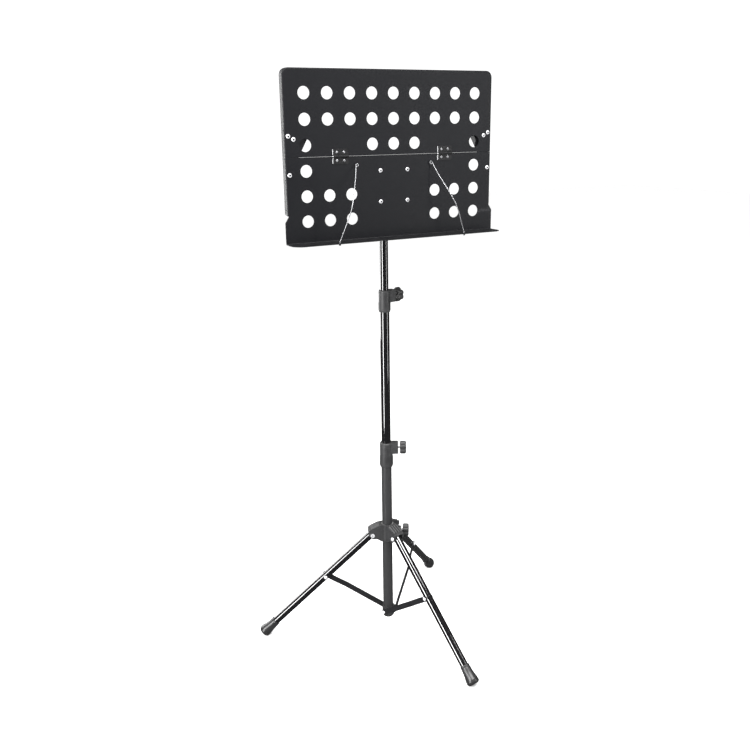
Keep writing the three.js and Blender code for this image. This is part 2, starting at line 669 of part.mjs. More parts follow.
function hubPiece() {
  let body = rod(hubSleeve, hub.bottom - hubSkirt, hubTop, 20);
  const cutters = [];
  for (let i = 0; i < legCount; i += 1) {
    const turn = legAzimuth(i);
    const bore = forwardRod(pivotBolt.radius + seat, hubWingWidth, -hubWingWidth, pivot.radius, pivotHeight);
    body = join(body, hubWing().rotateZ(turn));
    cutters.push(hubPocket().rotateZ(turn), bore.rotateZ(turn));
  }
  const boss = crossRod(collarBoss.width / 2, 0, hubClamp.boss, 0, hubClampHeight)
    .rotateZ(hubClamp.azimuth * degrees);
  body = join(body, boss);
  return cut(body, ...cutters,
    rod(lowerTube.radius + runGap, hub.bottom - hubSkirt - 1, hubTop + 1, 20),
    rod(bushRadius + seat, hubTop - hubBush.depth, hubTop + 1, 20),
    screwHole(hubClampHeight, hubClamp.azimuth));
}

piece(hubSlide, 'hub', hubPiece(), plastic);
const hubBushPiece = cut(
  pipe(bushRadius, lowerTube.radius + runGap / 2, hubTop - hubBush.depth + seat, hubTop + hubBush.lip, 20),
  screwHole(hubClampHeight, hubClamp.azimuth));
piece(hubSlide, 'hub_bush', hubBushPiece, finish(0x9a9a9a, 0.5, 0));
handScrew(hubSlide, 'hub_clamp', hubClamp.azimuth, hubClampHeight, lowerTube.radius + seat,
  hubClamp.boss);

// A leg hangs along -Z in its own frame, before it is swung out.
function legTubePiece() {
  const { radius, wall, above } = leg;
  const end = -legLength + foot.cover;
  const tube = pipe(radius, radius - wall, end, above, 18);
  const boltHole = forwardRod(pivotBolt.radius + seat, 20, -20);
  const rivetHole = forwardRod(rivet.radius + seat, 0, -20, 0, -strut.onLeg, 12);
  return cut(tube, boltHole, rivetHole);
}

function footPiece() {
  const { rim, widest, heel, heelRise, end, length, cover } = foot;
  const { radius } = leg;
  const bore = radius + seat;
  const low = -legLength;
  const profile = [
    [0, low + cover - seat], [bore, low + cover - seat], [bore, low + length],
    [radius + rim - 1, low + length], [radius + rim, low + length - 1],
    [radius + rim, low + length * footShare.neck],
    [radius + widest, low + length * footShare.bulge], [radius + widest, low + cover - 1],
    [radius + heel, low + heelRise], [radius + end, low], [0, low],
  ];
  const size = 2 * length;
  const ground = block(size, size, size).translate(legReach, 0, -pivotHeight - size / 2).rotateY(legAngle);
  return cut(turned(profile, 16), ground);
}

// A strut along +X from its upper eye, in its leg's plane, bent outwards to pass the mast.
function strutPiece() {
  const { width, thickness } = strut;
  const ribbon = outline([
    [-width, legSide], [strutBend.start, legSide], [strutBend.end, mastSide],
    [strutLength + width, mastSide], [strutLength + width, mastSide + thickness],
    [strutBend.end, mastSide + thickness], [strutBend.start, legSide + thickness],
    [-width, legSide + thickness],
  ]);
  const band = extruded(ribbon, 2 * width).translate(0, 0, -width).scale(1, -1, -1);
  const depth = mastSide + 2 * thickness;
  const face = upright(stadium(strutLength, width), depth, 0, 8);
  const eye = forwardRod(rivet.radius + seat, 0, -depth, 0, 0, 10);
  const lowEye = forwardRod(rivet.radius + seat, 0, -depth, strutLength, 0, 12);
  return cut(common(face, band), eye, lowEye);
}

// A round-headed rivet whose shank starts at y = -from and whose head sits past y = -under.
function strutRivet(from, under) {
  const shank = forwardRod(rivet.radius, -from, -under - 0.5, 0, 0, 10);
  const dome = turned([
    ...domeProfile(rivet.head, rivet.headHeight), [0, 0],
  ], 10).rotateX(Math.PI / 2).translate(0, -under, 0);
  return join(shank, dome);
}

function pivotBoltPiece() {
  const cheek = hubWingWidth / 2 + seat;
  const { radius, head: capRadius, headHeight } = pivotBolt;
  const shank = forwardRod(radius, cheek + 1, -cheek - 1, 0, 0, 10);
  const cap = turned([
    ...domeProfile(capRadius, headHeight), [0, 0],
  ], 10).rotateX(Math.PI / 2).translate(0, -cheek, 0);
  const nut = forwardRod(capRadius, cheek + headHeight, cheek, 0, 0, 6);
  return join(shank, cap, nut);
}

for (let i = 0; i < legCount; i += 1) {
  const label = i + 1;
  const spoke = frame(hubSlide, `leg_${label}_spoke`);
  spoke.rotation.z = legAzimuth(i);
  piece(spoke, `pivot_bolt_${label}`, pivotBoltPiece().translate(pivot.radius, 0, pivotHeight), bright);
  const fold = frame(spoke, `leg_${label}_fold`, pivot.radius, 0, pivotHeight);
  fold.rotation.y = -legAngle;
  piece(fold, `leg_${label}`, legTubePiece(), glossTube);
  piece(fold, `foot_${label}`, footPiece(), rubber);
  piece(fold, `strut_rivet_${label}`,
    strutRivet(leg.radius - leg.wall - 1, legSide + strut.thickness + seat)
      .translate(0, 0, -strut.onLeg), bright);
  const strutFold = frame(fold, `strut_${label}_fold`, 0, 0, -strut.onLeg);
  const bar = frame(strutFold, `strut_${label}_bar`);
  bar.rotation.y = legAngle + Math.PI / 2 + strutAngle;
  piece(bar, `strut_${label}`, strutPiece(), blackSteel);
  piece(bar, `spreader_rivet_${label}`,
    strutRivet(mastSide, mastSide + strut.thickness + seat).translate(strutLength, 0, 0), bright);
}

// The origin goes to the floor under the middle of the outline.
const box = new THREE.Box3().setFromObject(stand, true);
stand.position.set(-(box.min.x + box.max.x) / 2, -(box.min.y + box.max.y) / 2, -box.min.z);

export default stand;
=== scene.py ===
import json
import math

import bmesh
import bpy
from mathutils import Matrix, Vector


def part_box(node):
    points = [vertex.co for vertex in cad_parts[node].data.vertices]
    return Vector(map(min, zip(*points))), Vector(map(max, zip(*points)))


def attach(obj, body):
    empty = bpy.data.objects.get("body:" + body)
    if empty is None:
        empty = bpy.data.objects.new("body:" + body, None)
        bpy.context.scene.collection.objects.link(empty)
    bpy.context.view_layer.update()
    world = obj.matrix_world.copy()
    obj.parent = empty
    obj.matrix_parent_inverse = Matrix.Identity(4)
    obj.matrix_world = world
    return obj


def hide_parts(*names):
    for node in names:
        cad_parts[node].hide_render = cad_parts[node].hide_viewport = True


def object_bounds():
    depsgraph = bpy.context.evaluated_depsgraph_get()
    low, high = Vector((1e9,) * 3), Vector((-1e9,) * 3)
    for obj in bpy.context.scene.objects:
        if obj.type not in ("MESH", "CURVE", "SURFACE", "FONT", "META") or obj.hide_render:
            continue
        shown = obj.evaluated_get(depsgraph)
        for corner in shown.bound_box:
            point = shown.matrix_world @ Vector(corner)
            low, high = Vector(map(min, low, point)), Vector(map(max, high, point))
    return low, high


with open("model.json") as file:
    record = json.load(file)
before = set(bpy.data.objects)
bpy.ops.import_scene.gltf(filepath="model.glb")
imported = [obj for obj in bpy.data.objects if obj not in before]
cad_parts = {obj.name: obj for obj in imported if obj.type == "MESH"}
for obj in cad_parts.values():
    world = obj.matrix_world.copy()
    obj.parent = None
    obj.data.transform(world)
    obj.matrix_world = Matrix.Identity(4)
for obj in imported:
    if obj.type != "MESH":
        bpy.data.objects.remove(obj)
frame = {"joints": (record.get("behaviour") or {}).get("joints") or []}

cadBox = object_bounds()
mm = 0.001
joints = {joint["name"]: joint for joint in frame["joints"]}
tiltPoint = Vector(joints["desk_tilt"]["pos_m"])
tubeLow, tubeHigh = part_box("lower_tube")
mastCentre = (Vector(tubeLow) + Vector(tubeHigh)) / 2
mastX, mastY = mastCentre.x, mastCentre.y


def groupTree(name, inputs, outputs):
    tree = bpy.data.node_groups.new(name, "ShaderNodeTree")
    for label, kind, value in inputs:
        socket = tree.interface.new_socket(label, in_out="INPUT", socket_type=kind)
        if value is not None:
            socket.default_value = value
    for label, kind in outputs:
        tree.interface.new_socket(label, in_out="OUTPUT", socket_type=kind)
    return tree, tree.nodes.new("NodeGroupInput"), tree.nodes.new("NodeGroupOutput")


def mathNode(tree, operation, first, second=None, clamp=False):
    node = tree.nodes.new("ShaderNodeMath")
    node.operation = operation
    node.use_clamp = clamp
    for index, value in enumerate((first, second)):
        if value is None:
            continue
        if isinstance(value, bpy.types.NodeSocket):
            tree.links.new(value, node.inputs[index])
        else:
            node.inputs[index].default_value = value
    return node.outputs[0]


def noiseNode(tree, vector, scale, detail=3.0, roughness=0.5):
    node = tree.nodes.new("ShaderNodeTexNoise")
    tree.links.new(vector, node.inputs["Vector"])
    for label, value in (("Scale", scale), ("Detail", detail), ("Roughness", roughness)):
        if isinstance(value, bpy.types.NodeSocket):
            tree.links.new(value, node.inputs[label])
        else:
            node.inputs[label].default_value = value
    return node.outputs["Fac"]


def rampNode(tree, value, low, high):
    node = tree.nodes.new("ShaderNodeMapRange")
    tree.links.new(value, node.inputs["Value"])
    node.inputs["From Min"].default_value = low
    node.inputs["From Max"].default_value = high
    return node.outputs["Result"]


def buildWear():
    # edge wear mask from the surface's own pointiness, broken up by noise
    tree, given, result = groupTree(
        "edgeWear",
        [("Sharpness", "NodeSocketFloat", 0.53), ("Break Up", "NodeSocketFloat", 260.0),
         ("Amount", "NodeSocketFloat", 0.6)],
        [("Mask", "NodeSocketFloat")])
    place = tree.nodes.new("ShaderNodeTexCoord").outputs["Object"]
    point = tree.nodes.new("ShaderNodeNewGeometry").outputs["Pointiness"]
    over = mathNode(tree, "SUBTRACT", point, given.outputs["Sharpness"])
    edge = mathNode(tree, "MULTIPLY", over, 14.0, clamp=True)
    flecks = rampNode(tree, noiseNode(tree, place, given.outputs["Break Up"], 4.0, 0.6), 0.46, 0.6)
    mask = mathNode(tree, "MULTIPLY", edge, flecks, clamp=True)
    tree.links.new(mathNode(tree, "MULTIPLY", mask, given.outputs["Amount"]), result.inputs["Mask"])
    return tree


def buildGrain():
    # fine and coarse surface grain as a height, with a slow shade for colour and roughness
    tree, given, result = groupTree(
        "surfaceGrain",
        [("Fine Scale", "NodeSocketFloat", 1800.0), ("Coarse Scale", "NodeSocketFloat", 300.0),
         ("Coarse Share", "NodeSocketFloat", 0.4), ("Cloud Scale", "NodeSocketFloat", 9.0)],
        [("Height", "NodeSocketFloat"), ("Cloud", "NodeSocketFloat")])
    place = tree.nodes.new("ShaderNodeTexCoord").outputs["Object"]
    fine = noiseNode(tree, place, given.outputs["Fine Scale"], 2.0)
    coarse = noiseNode(tree, place, given.outputs["Coarse Scale"], 3.0)
    share = given.outputs["Coarse Share"]
    rest = mathNode(tree, "SUBTRACT", 1.0, share)
    height = mathNode(tree, "ADD", mathNode(tree, "MULTIPLY", coarse, share),
                      mathNode(tree, "MULTIPLY", fine, rest))
    tree.links.new(height, result.inputs["Height"])
    cloud = rampNode(tree, noiseNode(tree, place, given.outputs["Cloud Scale"], 4.0, 0.6), 0.3, 0.7)
    tree.links.new(cloud, result.inputs["Cloud"])
    return tree


def buildDust():
    # dust that settles on what faces up
    tree, given, result = groupTree(
        "settledDust",
        [("Amount", "NodeSocketFloat", 0.25), ("Scale", "NodeSocketFloat", 60.0)],
        [("Mask", "NodeSocketFloat")])
    place = tree.nodes.new("ShaderNodeTexCoord").outputs["Object"]
    facing = tree.nodes.new("ShaderNodeSeparateXYZ")
    tree.links.new(tree.nodes.new("ShaderNodeTexCoord").outputs["Normal"], facing.inputs[0])
    up = rampNode(tree, facing.outputs["Z"], 0.3, 1.0)
    patches = rampNode(tree, noiseNode(tree, place, given.outputs["Scale"], 5.0, 0.65), 0.35, 0.8)
    mask = mathNode(tree, "MULTIPLY", up, patches, clamp=True)
    tree.links.new(mathNode(tree, "MULTIPLY", mask, given.outputs["Amount"]), result.inputs["Mask"])
    return tree


def buildScuffs():
    # long fine scratches, mostly along the mast
    tree, given, result = groupTree(
        "slideScuffs",
        [("Density", "NodeSocketFloat", 420.0), ("Stretch", "NodeSocketFloat", 0.02),
         ("Amount", "NodeSocketFloat", 0.5)],
        [("Mask", "NodeSocketFloat")])
    place = tree.nodes.new("ShaderNodeTexCoord").outputs["Object"]
    squeeze = tree.nodes.new("ShaderNodeCombineXYZ")
    squeeze.inputs["X"].default_value = 1.0
    squeeze.inputs["Y"].default_value = 1.0
    tree.links.new(given.outputs["Stretch"], squeeze.inputs["Z"])
    scaled = tree.nodes.new("ShaderNodeVectorMath")
    scaled.operation = "MULTIPLY"
    tree.links.new(place, scaled.inputs[0])
    tree.links.new(squeeze.outputs[0], scaled.inputs[1])
    lines = rampNode(tree, noiseNode(tree, scaled.outputs[0], given.outputs["Density"], 4.0, 0.7), 0.62, 0.74)
    tree.links.new(mathNode(tree, "MULTIPLY", lines, given.outputs["Amount"]), result.inputs["Mask"])
    return tree


wearGroup, grainGroup, dustGroup, scuffGroup = buildWear(), buildGrain(), buildDust(), buildScuffs()


def placeGroup(tree, group, **values):
    node = tree.nodes.new("ShaderNodeGroup")
    node.node_tree = group
    for label, value in values.items():
        node.inputs[label.replace("_", " ")].default_value = value
    return node


def mixColour(tree, mask, first, second):
    node = tree.nodes.new("ShaderNodeMix")
    node.data_type = "RGBA"
    tree.links.new(mask, node.inputs["Factor"])
    for name, value in (("A", first), ("B", second)):
        socket = [s for s in node.inputs if s.name == name and s.type == "RGBA"][0]
        if isinstance(value, bpy.types.NodeSocket):
            tree.links.new(value, socket)
        else:
            socket.default_value = (*value, 1.0)
    return [s for s in node.outputs if s.type == "RGBA"][0]


def mixValue(tree, mask, first, second):
    node = tree.nodes.new("ShaderNodeMix")
    tree.links.new(mask, node.inputs[0])
    for index, value in ((2, first), (3, second)):
        if isinstance(value, bpy.types.NodeSocket):
            tree.links.new(value, node.inputs[index])
        else:
            node.inputs[index].default_value = value
    return node.outputs[0]


def finishMaterial(name, look):
    material = bpy.data.materials.new(name)
    material.use_nodes = True
    tree = material.node_tree
    shader = tree.nodes["Principled BSDF"]
    grain = placeGroup(tree, grainGroup, Fine_Scale=look["fine"], Coarse_Scale=look["coarse"],
                       Coarse_Share=look["share"], Cloud_Scale=look["cloud"])
    wear = placeGroup(tree, wearGroup, Sharpness=look["sharpness"], Break_Up=look["breakUp"],
                      Amount=look["wear"])
    dust = placeGroup(tree, dustGroup, Amount=look["dust"], Scale=look["dustScale"])
    colour = mixColour(tree, grain.outputs["Cloud"], look["colour"], look["shade"])
    rough = mixValue(tree, grain.outputs["Cloud"], look["rough"][0], look["rough"][1])
    if "scuffs" in look:
        scuffs = placeGroup(tree, scuffGroup, Amount=look["scuffs"])
        colour = mixColour(tree, scuffs.outputs["Mask"], colour, look["wornColour"])
        rough = mixValue(tree, scuffs.outputs["Mask"], rough, 0.45)
    colour = mixColour(tree, wear.outputs["Mask"], colour, look["wornColour"])
    colour = mixColour(tree, dust.outputs["Mask"], colour, (0.32, 0.31, 0.3))
    rough = mixValue(tree, dust.outputs["Mask"], rough, 0.85)
    tree.links.new(colour, shader.inputs["Base Color"])
    tree.links.new(rough, shader.inputs["Roughness"])
    bump = tree.nodes.new("ShaderNodeBump")
    bump.inputs["Strength"].default_value = look["bump"]
    bump.inputs["Distance"].default_value = look["depth"]
    tree.links.new(grain.outputs["Height"], bump.inputs["Height"])
    tree.links.new(bump.outputs["Normal"], shader.inputs["Normal"])
    shader.inputs["Metallic"].default_value = look.get("metal", 0.0)
    shader.inputs["Specular IOR Level"].default_value = look.get("specular", 0.5)
    shader.inputs["Coat Weight"].default_value = look.get("coat", 0.0)
    shader.inputs["Coat Roughness"].default_value = look.get("coatRough", 0.05)
    return material


finishes = {
    "powderCoat": dict(colour=(0.0026, 0.0028, 0.004), shade=(0.0037, 0.004, 0.0054), rough=(0.44, 0.56),
                       specular=0.24,
                       fine=2600.0, coarse=900.0, share=0.55, cloud=5.0, bump=0.35, depth=0.0004,
                       sharpness=0.56, breakUp=500.0, wear=0.35, dust=0.05, dustScale=90.0,
                       wornColour=(0.09, 0.09, 0.095)),
    "glossTube": dict(colour=(0.002, 0.002, 0.0023), shade=(0.003, 0.003, 0.0034), rough=(0.05, 0.09),
                      fine=900.0, coarse=120.0, share=0.6, cloud=7.0, bump=0.03, depth=0.0003,
                      sharpness=0.58, breakUp=400.0, wear=0.2, dust=0.02, dustScale=70.0,
                      wornColour=(0.05, 0.05, 0.05), scuffs=0.06, coat=0.6, specular=0.7),
    "satinTube": dict(colour=(0.0155, 0.0155, 0.0162), shade=(0.021, 0.021, 0.0217), rough=(0.34, 0.43),
                      fine=2200.0, coarse=500.0, share=0.5, cloud=6.0, bump=0.12, depth=0.0003,
                      sharpness=0.56, breakUp=400.0, wear=0.3, dust=0.08, dustScale=70.0,
                      wornColour=(0.12, 0.12, 0.12), scuffs=0.2),
    "mouldedPlastic": dict(colour=(0.0125, 0.0125, 0.0131), shade=(0.0185, 0.0185, 0.0193), rough=(0.42, 0.55),
                           fine=3200.0, coarse=1100.0, share=0.5, cloud=22.0, bump=0.3, depth=0.00035,
                           sharpness=0.56, breakUp=600.0, wear=0.35, dust=0.1, dustScale=160.0,
                           wornColour=(0.05, 0.05, 0.052)),
    "greyNylon": dict(colour=(0.26, 0.26, 0.26), shade=(0.34, 0.34, 0.335), rough=(0.4, 0.5),
                      fine=2500.0, coarse=700.0, share=0.5, cloud=30.0, bump=0.15, depth=0.0003,
                      sharpness=0.56, breakUp=600.0, wear=0.2, dust=0.2, dustScale=200.0,
                      wornColour=(0.6, 0.6, 0.6)),
    "blackSteel": dict(colour=(0.006, 0.006, 0.007), shade=(0.01, 0.01, 0.011), rough=(0.26, 0.36),
                       specular=0.4,
                       fine=2400.0, coarse=600.0, share=0.5, cloud=16.0, bump=0.06, depth=0.0002,
                       sharpness=0.6, breakUp=700.0, wear=0.3, dust=0.04, dustScale=150.0,
                       wornColour=(0.1, 0.1, 0.1)),
    "hingeSteel": dict(colour=(0.0032, 0.0033, 0.0038), shade=(0.0045, 0.0046, 0.0052), rough=(0.42, 0.52),
                       specular=0.22,
                       fine=2400.0, coarse=700.0, share=0.5, cloud=40.0, bump=0.05, depth=0.0002,
                       sharpness=0.6, breakUp=700.0, wear=0.2, dust=0.02, dustScale=150.0,
                       wornColour=(0.06, 0.06, 0.06)),
    # lighter than the hub's own plastic: the ribs are the same moulding, and their light colour is a painted
    # highlight along the ridges
    "ribPaintedHighlight": dict(colour=(0.06, 0.06, 0.061), shade=(0.08, 0.08, 0.081), rough=(0.4, 0.5),
                       fine=3200.0, coarse=1100.0, share=0.5, cloud=40.0, bump=0.2, depth=0.0003,
                       sharpness=0.56, breakUp=600.0, wear=0.4, dust=0.08, dustScale=160.0,
                       wornColour=(0.1, 0.1, 0.1)),
    "drawnSteel": dict(colour=(0.36, 0.36, 0.37), shade=(0.28, 0.28, 0.29), rough=(0.24, 0.34),
                       fine=3500.0, coarse=900.0, share=0.4, cloud=60.0, bump=0.06, depth=0.0002,
                       sharpness=0.56, breakUp=600.0, wear=0.3, dust=0.04, dustScale=200.0,
                       wornColour=(0.6, 0.6, 0.6), metal=0.75),
    "zincSteel": dict(colour=(0.86, 0.86, 0.87), shade=(0.76, 0.76, 0.78), rough=(0.24, 0.34),
                      fine=3500.0, coarse=900.0, share=0.4, cloud=40.0, bump=0.08, depth=0.0002,
                      sharpness=0.56, breakUp=600.0, wear=0.2, dust=0.05, dustScale=200.0,
                      wornColour=(0.85, 0.85, 0.85), metal=0.62),
    # grey worn steel for the small hinge rivets: its light base colour is partly a painted highlight on darker
    # rivets, and partly wear
    "wornSteelPaintedSheen": dict(colour=(0.3, 0.3, 0.31), shade=(0.2, 0.2, 0.21), rough=(0.25, 0.33),
                      fine=2600.0, coarse=800.0, share=0.5, cloud=120.0, bump=0.1, depth=0.0002,
                      sharpness=0.54, breakUp=700.0, wear=0.6, dust=0.05, dustScale=200.0,
                      wornColour=(0.4, 0.4, 0.4), metal=0.7),
    "footRubber": dict(colour=(0.011, 0.011, 0.0115), shade=(0.017, 0.017, 0.0175), rough=(0.26, 0.36),
                       fine=2200.0, coarse=700.0, share=0.5, cloud=24.0, bump=0.15, depth=0.0003,
                       sharpness=0.56, breakUp=400.0, wear=0.35, dust=0.05, dustScale=120.0,
                       wornColour=(0.06, 0.059, 0.057)),
}
materials = {name: finishMaterial(name, look) for name, look in finishes.items()}
print("materials ready")


def rounded(corners, radii, closed=True, steps=5):
    # arcs in place of corners; a radius may be one number or one for each corner
    count = len(corners)
    out = []
    for index, corner in enumerate(corners):
        radius = radii[index] if isinstance(radii, (list, tuple)) else radii
        if radius == 0 or (not closed and index in (0, count - 1)):
            out.append(Vector(corner))
            continue
        here = Vector(corner)
        before = (Vector(corners[index - 1]) - here)
        after = (Vector(corners[(index + 1) % count]) - here)
        reach = min(before.length, after.length) * 0.49
        before.normalize()
        after.normalize()
        half = before.angle(after) / 2
        tangent = min(radius / math.tan(half), reach)
        radius = tangent * math.tan(half)
        centre = here + (before + after).normalized() * (radius / math.sin(half))
        start, end = here + before * tangent - centre, here + after * tangent - centre
        for step in range(steps + 1):
            share = step / steps
            sweep = start.angle(end)
            a, b = math.sin((1 - share) * sweep), math.sin(share * sweep)
            out.append(centre + (start * a + end * b) / math.sin(sweep))
    return out


def circle(radius, x=0.0, y=0.0, sides=48):
    return [Vector((x + radius * math.cos(2 * math.pi * i / sides),
                    y + radius * math.sin(2 * math.pi * i / sides))) for i in range(sides)]


def meshFrom(points, faces, name="part"):
    mesh = bpy.data.meshes.new(name)
    mesh.from_pydata([tuple(p) for p in points], [], faces)
    mesh.update()
    return mesh


def lofted(sections, looped=False):
    # sections are rings of as many points each, or one point where the skin closes
    points, faces, rings = [], [], []
    for section in sections:
        rings.append(list(range(len(points), len(points) + len(section))))
        points.extend(section)
    pairs = list(zip(rings, rings[1:]))
    if looped:
        pairs.append((rings[-1], rings[0]))
    sides = max(len(ring) for ring in rings)
    for low, high in pairs:
        for step in range(sides):
            after = (step + 1) % sides
            if len(low) == 1 and len(high) == 1:
                continue
            if len(low) == 1:
                faces.append((low[0], high[after], high[step]))
            elif len(high) == 1:
                faces.append((low[step], low[after], high[0]))
            else:
                faces.append((low[step], low[after], high[after], high[step]))
    return outward(meshFrom(points, faces))


def turned(profile, sides=72):
    # a section of (radius, z) turned about Z; one that doesn't end on the axis closes on itself
    sections = []
    for radius, z in profile:
        if radius < 1e-6:
            sections.append([(0.0, 0.0, z)])
            continue
        angles = [2 * math.pi * step / sides for step in range(sides)]
        sections.append([(radius * math.cos(a), radius * math.sin(a), z) for a in angles])
    return lofted(sections, looped=len(sections[0]) > 1 and len(sections[-1]) > 1)


def outward(mesh):
    work = bmesh.new()
    work.from_mesh(mesh)
    bmesh.ops.remove_doubles(work, verts=work.verts, dist=1e-5)
    bmesh.ops.recalc_face_normals(work, faces=work.faces)
    work.to_mesh(mesh)
    work.free()
    return mesh


def slab(outline, thickness):
    # a flat plate from z = 0 up
    work = bmesh.new()
    verts = [work.verts.new((p[0], p[1], 0.0)) for p in outline]
    edges = [work.edges.new((a, b)) for a, b in zip(verts, verts[1:] + verts[:1])]
    bmesh.ops.triangle_fill(work, use_beauty=True, edges=edges, normal=(0, 0, 1))
    bmesh.ops.dissolve_limit(work, angle_limit=0.01, verts=work.verts, edges=work.edges, delimit={"NORMAL"})
    raised = bmesh.ops.extrude_face_region(work, geom=list(work.faces))
    lifted = [item for item in raised["geom"] if isinstance(item, bmesh.types.BMVert)]
    bmesh.ops.translate(work, verts=lifted, vec=(0, 0, thickness))
    bmesh.ops.recalc_face_normals(work, faces=work.faces)
    mesh = bpy.data.meshes.new("slab")
    work.to_mesh(mesh)
    work.free()
    return mesh


def moved(mesh, matrix):
    mesh.transform(matrix)
    if matrix.determinant() < 0:
        mesh.flip_normals()
    return mesh


def shift(x=0.0, y=0.0, z=0.0):
    return Matrix.Translation((x, y, z))


def turn(degrees, axis):
    return Matrix.Rotation(math.radians(degrees), 4, axis)


def joined(*meshes):
    work = bmesh.new()
    for mesh in meshes:
        work.from_mesh(mesh)
    result = bpy.data.meshes.new("joined")
    work.to_mesh(result)
    work.free()
    return result


def temporary(mesh):
    thing = bpy.data.objects.new("temporary", mesh)
    bpy.context.scene.collection.objects.link(thing)
    return thing


def settled(thing):
    # the evaluated mesh of an object, which is then dropped
    view = bpy.context.evaluated_depsgraph_get()
    view.update()
    mesh = bpy.data.meshes.new_from_object(thing.evaluated_get(view), depsgraph=view)
    bpy.data.objects.remove(thing)
    return mesh


def boolean(body, tools, operation):
    thing = temporary(body)
    helpers = []
    for tool in tools:
        helper = temporary(tool)
        helper.hide_render = True
        modifier = thing.modifiers.new("boolean", "BOOLEAN")
        modifier.operation = operation
        modifier.solver = "EXACT"
        modifier.object = helper
        helpers.append(helper)
    mesh = settled(thing)
    for helper in helpers:
        bpy.data.objects.remove(helper)
    return mesh


def cut(body, *tools):
    return boolean(body, tools, "DIFFERENCE")


def fused(body, *others):
    return boolean(body, others, "UNION")


def eased(mesh, width, segments=2, angle=38):
    # small round edges; width in the mesh's own units
    thing = temporary(mesh)
    bevel = thing.modifiers.new("bevel", "BEVEL")
    bevel.width = width
    bevel.segments = segments
    bevel.limit_method = "ANGLE"
    bevel.angle_limit = math.radians(angle)
    bevel.use_clamp_overlap = True
    bevel.miter_outer = "MITER_ARC"
    return settled(thing)


def makePiece(name, mesh, finish, body, nodes, place=None, smooth=40, scale=mm):
    # the mesh is in millimetres in its own place; the finished object sits at the origin in metres
    mesh.transform(Matrix.Scale(scale, 4))
    if place is not None:
        mesh.transform(place)
    mesh.name = name
    mesh.materials.clear()
    mesh.materials.append(materials[finish])
    mesh.shade_smooth()
    mesh.set_sharp_from_angle(angle=math.radians(smooth))
    thing = temporary(mesh)
    modifier = thing.modifiers.new("weighted", "WEIGHTED_NORMAL")
    modifier.keep_sharp = True
    mesh = settled(thing)
    mesh.name = name
    thing = bpy.data.objects.new(name, mesh)
    bpy.context.scene.collection.objects.link(thing)
    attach(thing, body)
    if nodes:
        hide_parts(*nodes)
    return thing


def nodesTree(name, inputs):
    tree = bpy.data.node_groups.new(name, "GeometryNodeTree")
    tree.interface.new_socket("Geometry", in_out="INPUT", socket_type="NodeSocketGeometry")
    for label, kind, value in inputs:
        socket = tree.interface.new_socket(label, in_out="INPUT", socket_type=kind)
        if value is not None:
            socket.default_value = value
    tree.interface.new_socket("Geometry", in_out="OUTPUT", socket_type="NodeSocketGeometry")
    return tree, tree.nodes.new("NodeGroupInput"), tree.nodes.new("NodeGroupOutput")


def runNodes(mesh, tree, **values):
    thing = temporary(mesh)
    modifier = thing.modifiers.new(tree.name, "NODES")
    modifier.node_group = tree
    sockets = {item.name: item.identifier for item in tree.interface.items_tree
               if item.item_type == "SOCKET" and item.in_out == "INPUT"}
    for label, value in values.items():
        modifier[sockets[label.replace("_", " ")]] = value
    return settled(thing)


def linkAll(tree, *pairs):
    for start, end in pairs:
        tree.links.new(start, end)


def buildPerforator():
    # points become round holes in the outline drawn by the mesh's edges; the result is a flat sheet
    tree, given, result = nodesTree("perforatedSheet", [
        ("Hole Radius", "NodeSocketFloat", 12.5), ("Sides", "NodeSocketInt", 64),
        ("Material", "NodeSocketMaterial", None)])
    outline = tree.nodes.new("GeometryNodeMeshToCurve")
    mark = tree.nodes.new("GeometryNodeInputNamedAttribute")
    mark.data_type = "BOOLEAN"
    mark.inputs["Name"].default_value = "hole"
    split = tree.nodes.new("GeometryNodeSeparateGeometry")
    split.domain = "POINT"
    dots = tree.nodes.new("GeometryNodeMeshToPoints")
    ring = tree.nodes.new("GeometryNodeCurvePrimitiveCircle")
    spread = tree.nodes.new("GeometryNodeInstanceOnPoints")
    real = tree.nodes.new("GeometryNodeRealizeInstances")
    both = tree.nodes.new("GeometryNodeJoinGeometry")
    fill = tree.nodes.new("GeometryNodeFillCurve")
    fill.mode = "TRIANGLES"
    last = tree.nodes.new("GeometryNodeRealizeInstances")
    paint = tree.nodes.new("GeometryNodeSetMaterial")
    linkAll(tree,
            (given.outputs["Geometry"], split.inputs["Geometry"]),
            (mark.outputs["Attribute"], split.inputs["Selection"]),
            (split.outputs["Selection"], dots.inputs["Mesh"]),
            (split.outputs["Inverted"], outline.inputs["Mesh"]),
            (given.outputs["Hole Radius"], ring.inputs["Radius"]),
            (given.outputs["Sides"], ring.inputs["Resolution"]),
            (dots.outputs["Points"], spread.inputs["Points"]),
            (ring.outputs["Curve"], spread.inputs["Instance"]),
            (spread.outputs["Instances"], real.inputs["Geometry"]),
            (outline.outputs["Curve"], both.inputs["Geometry"]),
            (real.outputs["Geometry"], both.inputs["Geometry"]),
            (both.outputs["Geometry"], fill.inputs["Curve"]),
            (fill.outputs["Mesh"], last.inputs["Geometry"]),
            (last.outputs["Geometry"], paint.inputs["Geometry"]),
            (given.outputs["Material"], paint.inputs["Material"]),
            (paint.outputs["Geometry"], result.inputs["Geometry"]))
    return tree


